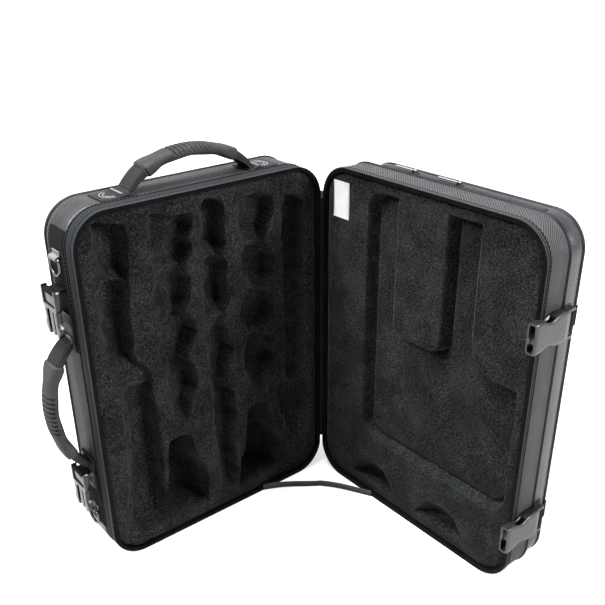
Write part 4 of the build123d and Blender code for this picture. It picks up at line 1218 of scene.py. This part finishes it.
def make_plug(where):
    """The plug half of a buckle: frame, bar, web, guide and two barbed arms."""
    pivot = joint_place(f"plug_{where}_swing")
    body = f"plug_{where}"

    def plate(part, outline, thickness, bevel, replaces=()):
        solid_plate(f"{body}_{part}", outline, pivot, PLUG_DIRECTIONS, thickness, bevel, "plug_plastic", body,
                    replaces)

    plate("frame", PLUG_FRAME, 6.0, 0.7, (f"buckle_plug_{where}",))
    make_bar(body, pivot, (0, 1, 0), 14.0, (0, 0, 1), "plug_plastic")
    plate("web", PLUG_WEB, 3.4, 0.5)
    plate("arm_left", [(-u, v) for u, v in PLUG_ARM], 5.6, 0.6)
    plate("arm_right", PLUG_ARM, 5.6, 0.6)
    plate("guide", PLUG_GUIDE, 4.2, 0.5)


SOCKET_BACK = -4.7
SOCKET_FRONT = -54.7
SOCKET_COLUMNS = 40
SOCKET_TURNS = 2 * pi * (np.arange(SOCKET_COLUMNS) + 0.5) / SOCKET_COLUMNS
SOCKET_STATIONS = np.linspace(0.0, 1.0, 41)
SOCKET_HOLLOW = 0.62          # the hollow's share of the length, from the mouth
SOCKET_WINDOW = (0.26, 0.56)  # the side windows' share of it
SOCKET_SKIN = 1.7
SOCKET_HALF_WIDTH = 15.5
SOCKET_HALF_THICKNESS = 5.25


def socket_ring(pivot, share, shrink):
    """One ring of the socket's waisted body, at a share of its length and shrunk for the hollow."""
    waist = 4.0 * np.exp(-((share - 0.42) / 0.17) ** 2)
    shoulder = 1.2 * smooth((share - 0.80) / 0.2) + 0.6 * smooth((0.06 - share) / 0.06)
    thinning = 0.9 * smooth((share - 0.86) / 0.14) + 0.5 * smooth((0.05 - share) / 0.05)
    half_up = SOCKET_HALF_WIDTH - waist - shoulder - shrink
    half_out = SOCKET_HALF_THICKNESS - thinning - shrink
    out, up = superellipse(SOCKET_TURNS, half_out, half_up, 7.0)
    forward = np.full(SOCKET_COLUMNS, SOCKET_FRONT + share * (SOCKET_BACK - SOCKET_FRONT))
    return pivot + np.stack([forward, out, up], 1)


def in_window(row, column):
    """Whether a face of the socket's skin lies in one of its two side windows."""
    upright = abs(np.sin(SOCKET_TURNS[column % SOCKET_COLUMNS] + pi / SOCKET_COLUMNS)) > 0.985
    return upright and SOCKET_WINDOW[0] < SOCKET_STATIONS[row] < SOCKET_WINDOW[1]


def socket_faces(rows, deep_rows):
    """Faces of the outer skin and of the hollow inside it, with the windows' edges closed between them."""
    hollow = rows * SOCKET_COLUMNS
    faces = []
    for row in range(rows - 1):
        for column in range(SOCKET_COLUMNS):
            beside = (column + 1) % SOCKET_COLUMNS
            near, far = row * SOCKET_COLUMNS, (row + 1) * SOCKET_COLUMNS
            quad = (near + column, near + beside, far + beside, far + column)
            if not in_window(row, column):
                faces.append(quad)
                if row < deep_rows - 1:
                    faces.append(tuple(hollow + corner for corner in reversed(quad)))
                continue
            for next_row, next_column, start, end in ((row, column - 1, 0, 3), (row, column + 1, 1, 2),
                                                      (row - 1, column, 0, 1), (row + 1, column, 3, 2)):
                if not in_window(next_row, next_column):
                    faces.append((quad[start], quad[end], hollow + quad[end], hollow + quad[start]))
    return faces


def make_socket(where):
    """The socket half of a buckle: a waisted hollow body with side windows, its ears and web bar."""
    pivot = joint_place(f"socket_{where}_swing")
    body = f"socket_{where}"
    deep = SOCKET_STATIONS[SOCKET_STATIONS <= SOCKET_HOLLOW]
    rings = [socket_ring(pivot, share, 0.0) for share in SOCKET_STATIONS]
    rings += [socket_ring(pivot, share, SOCKET_SKIN) for share in deep]
    faces = socket_faces(len(SOCKET_STATIONS), len(deep))
    hollow = len(SOCKET_STATIONS) * SOCKET_COLUMNS
    for column in range(SOCKET_COLUMNS):
        beside = (column + 1) % SOCKET_COLUMNS
        faces.append((column, hollow + column, hollow + beside, beside))
    faces.append(tuple(range(hollow - SOCKET_COLUMNS, hollow)))
    last = len(rings) * SOCKET_COLUMNS
    faces.append(tuple(range(last - SOCKET_COLUMNS, last)))
    piece(f"{body}_shell", np.concatenate(rings) * MM, faces, "socket_plastic", body,
          (f"buckle_socket_{where}",), sharp=38.0)
    for name, side in (("low", -1), ("high", 1)):
        outline = [(u, side * v) for u, v in SOCKET_EAR]
        solid_plate(f"{body}_ear_{name}", outline, pivot, SOCKET_DIRECTIONS, 7.4, 0.6, "socket_plastic", body)
    make_bar(body, pivot, (0, 0, 1), 13.5, (1, 0, 0), "socket_plastic")


# ---- small things -------------------------------------------------------------------------------
def make_label():
    """The bare pale patch on the lid's plush, its ends lifting a little."""
    low, high = node_box("lining_label")
    size = high - low
    middle = (low + high) / 2
    heights = np.linspace(low[2], high[2], 21)
    lifted = low[0] + 0.1 - 0.5 * np.abs((heights - middle[2]) / (size[2] / 2)) ** 4
    centre = np.stack([lifted, np.full_like(heights, middle[1]), heights], 1)
    flat_strap("name_patch", centre, (0, 1, 0), size[1], 0.5, "label_cloth", "lid",
               ("lining_label",))
    box_stitches("name_patch_stitches", low + (-0.3, 1.0, 1.0), ((0, 1, 0), (0, 0, 1), (-1, 0, 0)),
                 size[1] - 2.0, size[2] - 2.0, 2.2, "lid")


def make_corner_patches():
    """Smooth vinyl round the base's two outer corners, coloured paler as a painted highlight, and webbing
    from the upper one down to the straps.
    """
    outline = Outline(SHELL_SIDES, 3.0)
    spots = list(zip(outline.places, outline.normals))
    upper = [(place, normal) for place, normal in spots if place[0] > 247.0 and place[1] > 343.0]
    lower = [(place, normal) for place, normal in spots if place[0] > 252.0 and place[1] < 42.0]
    turned = [(place, normal) for place, normal in upper if normal[1] < 0.50]
    low, high = node_box("edge_strap_upper")
    strap_depth = (low[1] + high[1]) / 2 - HINGE_Y
    for name, line, lift, depth, width, finish in (
            ("corner_patch_upper", upper, 0.35, 35.0, 31.0, "corner_vinyl_painted_highlight"),
            ("corner_patch_lower", lower, 0.35, 35.0, 31.0, "corner_vinyl_painted_highlight"),
            ("corner_webbing", turned, 1.1, strap_depth, high[1] - low[1], "webbing")):
        centre = [on_shell("base", *(place + normal * lift), depth) / MM for place, normal in line]
        flat_strap(name, centre, (0, 1, 0), width, 0.9, finish, "base")


SOFT_EDGE = 0.15
METAL_PARTS = {
    "ring_metal": ("d_ring_upper", "d_ring_lower"),
    "slider_metal": ("pocket_slider_one", "pocket_slider_two", "main_slider"),
    "pull_metal": ("pocket_pull_one", "pocket_pull_two", "main_pull")}


def dress_metal():
    """Rings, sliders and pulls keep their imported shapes."""
    for finish, nodes in METAL_PARTS.items():
        for node in nodes:
            part = frame["nodes"][node]
            part.data.materials.clear()
            part.data.materials.append(FINISHES[finish])
            edge = part.modifiers.new("soft_edges", "BEVEL")
            edge.width = SOFT_EDGE * MM
            edge.segments = 2
            edge.limit_method = "ANGLE"


# ---- room ---------------------------------------------------------------------------------------
FLOOR_HALF = 30.0             # metres, as are all places and sizes here
GLOW_REACH = 1.5              # the floor's own glow rises over this distance from the case
GLOW_NEAR = 0.64
GLOW_FAR = 0.95
SKY = 0.16                    # the sky's strength as a light; it is 1 to the eye
# name, place, target, size and power in watts
LAMPS = (("right_box", (0.95, -1.95, 1.25), (0.0, 0.1, 0.2), 0.8, 76.0),
         ("left_box", (-1.60, 0.66, 2.00), (0.1, 0.0, 0.2), 0.6, 74.0),
         ("overhead_box", (-0.30, 0.22, 2.1), (0.0, 0.0, 0.2), 0.8, 84.0))
CAMERA_PLACE = (-0.5561, -0.648, 0.6093)     # from the hinge line
CAMERA_LENS = 47.776
CAMERA_SHIFT = 0.0661
CAMERA_DOWN = 27.07
CAMERA_TURN = -39.12
CAMERA_ROLL = -0.54


def make_floor():
    """Pale floor that looks white to the camera and keeps the shadow."""
    mesh = bpy.data.meshes.new("floor")
    corners = [(-FLOOR_HALF, -FLOOR_HALF, 0), (FLOOR_HALF, -FLOOR_HALF, 0), (FLOOR_HALF, FLOOR_HALF, 0),
               (-FLOOR_HALF, FLOOR_HALF, 0)]
    mesh.from_pydata(corners, [], [(0, 1, 2, 3)])
    floor = bpy.data.objects.new("floor", mesh)
    bpy.context.scene.collection.objects.link(floor)
    finish = Finish("floor_paint", Base_Color=(0.50, 0.50, 0.50), Roughness=0.9, Specular_IOR_Level=0.1)
    away = finish.node("ShaderNodeVectorMath", {"operation": "LENGTH"}, {0: finish.place()}, output="Value")
    finish.set(Emission_Color=finish.ramp(away / GLOW_REACH, (0.30, GLOW_NEAR), (0.75, GLOW_FAR)))
    finish.set(Emission_Strength=finish.in_view())
    mesh.materials.append(finish.material)


def make_sky():
    """White to the eye, faint as a light."""
    world = bpy.context.scene.world or bpy.data.worlds.new("studio")
    bpy.context.scene.world = world
    world.use_nodes = True
    room = Nodes(world.node_tree)
    background = world.node_tree.nodes["Background"]
    room.feed(background.inputs["Color"], (1.0, 1.0, 1.0))
    room.feed(background.inputs["Strength"], SKY + (1.0 - SKY) * room.in_view())


def make_lamps():
    """Three square soft boxes."""
    for name, place, target, size, power in LAMPS:
        data = bpy.data.lights.new(name, "AREA")
        data.shape = "SQUARE"
        data.size = size
        data.energy = power
        lamp = bpy.data.objects.new(name, data)
        lamp.location = place
        lamp.rotation_euler = (Vector(target) - Vector(place)).to_track_quat("-Z", "Y").to_euler()
        bpy.context.scene.collection.objects.link(lamp)


def make_camera():
    """A camera at the viewer's place, looking down into the open case."""
    data = bpy.data.cameras.new("camera")
    data.sensor_width = 36.0
    data.lens = CAMERA_LENS
    data.shift_y = CAMERA_SHIFT
    camera = bpy.data.objects.new("camera", data)
    camera.location = Vector(CAMERA_PLACE) + Vector((HINGE_X * MM, HINGE_Y * MM, 0.0))
    turn = Euler((radians(90.0 - CAMERA_DOWN), 0.0, radians(CAMERA_TURN))).to_matrix()
    roll = Euler((0.0, 0.0, radians(CAMERA_ROLL))).to_matrix()
    camera.rotation_euler = (turn @ roll).to_euler()
    bpy.context.scene.collection.objects.link(camera)
    bpy.context.scene.camera = camera
    bpy.context.scene.view_settings.view_transform = "Standard"


make_camera()
make_floor()
make_sky()
make_lamps()
make_linings()
make_base_shell()
make_lid_shell()
make_music_pocket()
make_pocket_zipper()
make_edge_straps()
make_corner_patches()
for where in ("upper", "lower"):
    make_ring_loop(where)
    make_plug_loop(where)
    make_socket_webbing(where)
make_spine_tape()
make_zipper_tail()
make_handles()
for where in ("upper", "lower"):
    make_plug(where)
    make_socket(where)
make_label()
dress_metal()
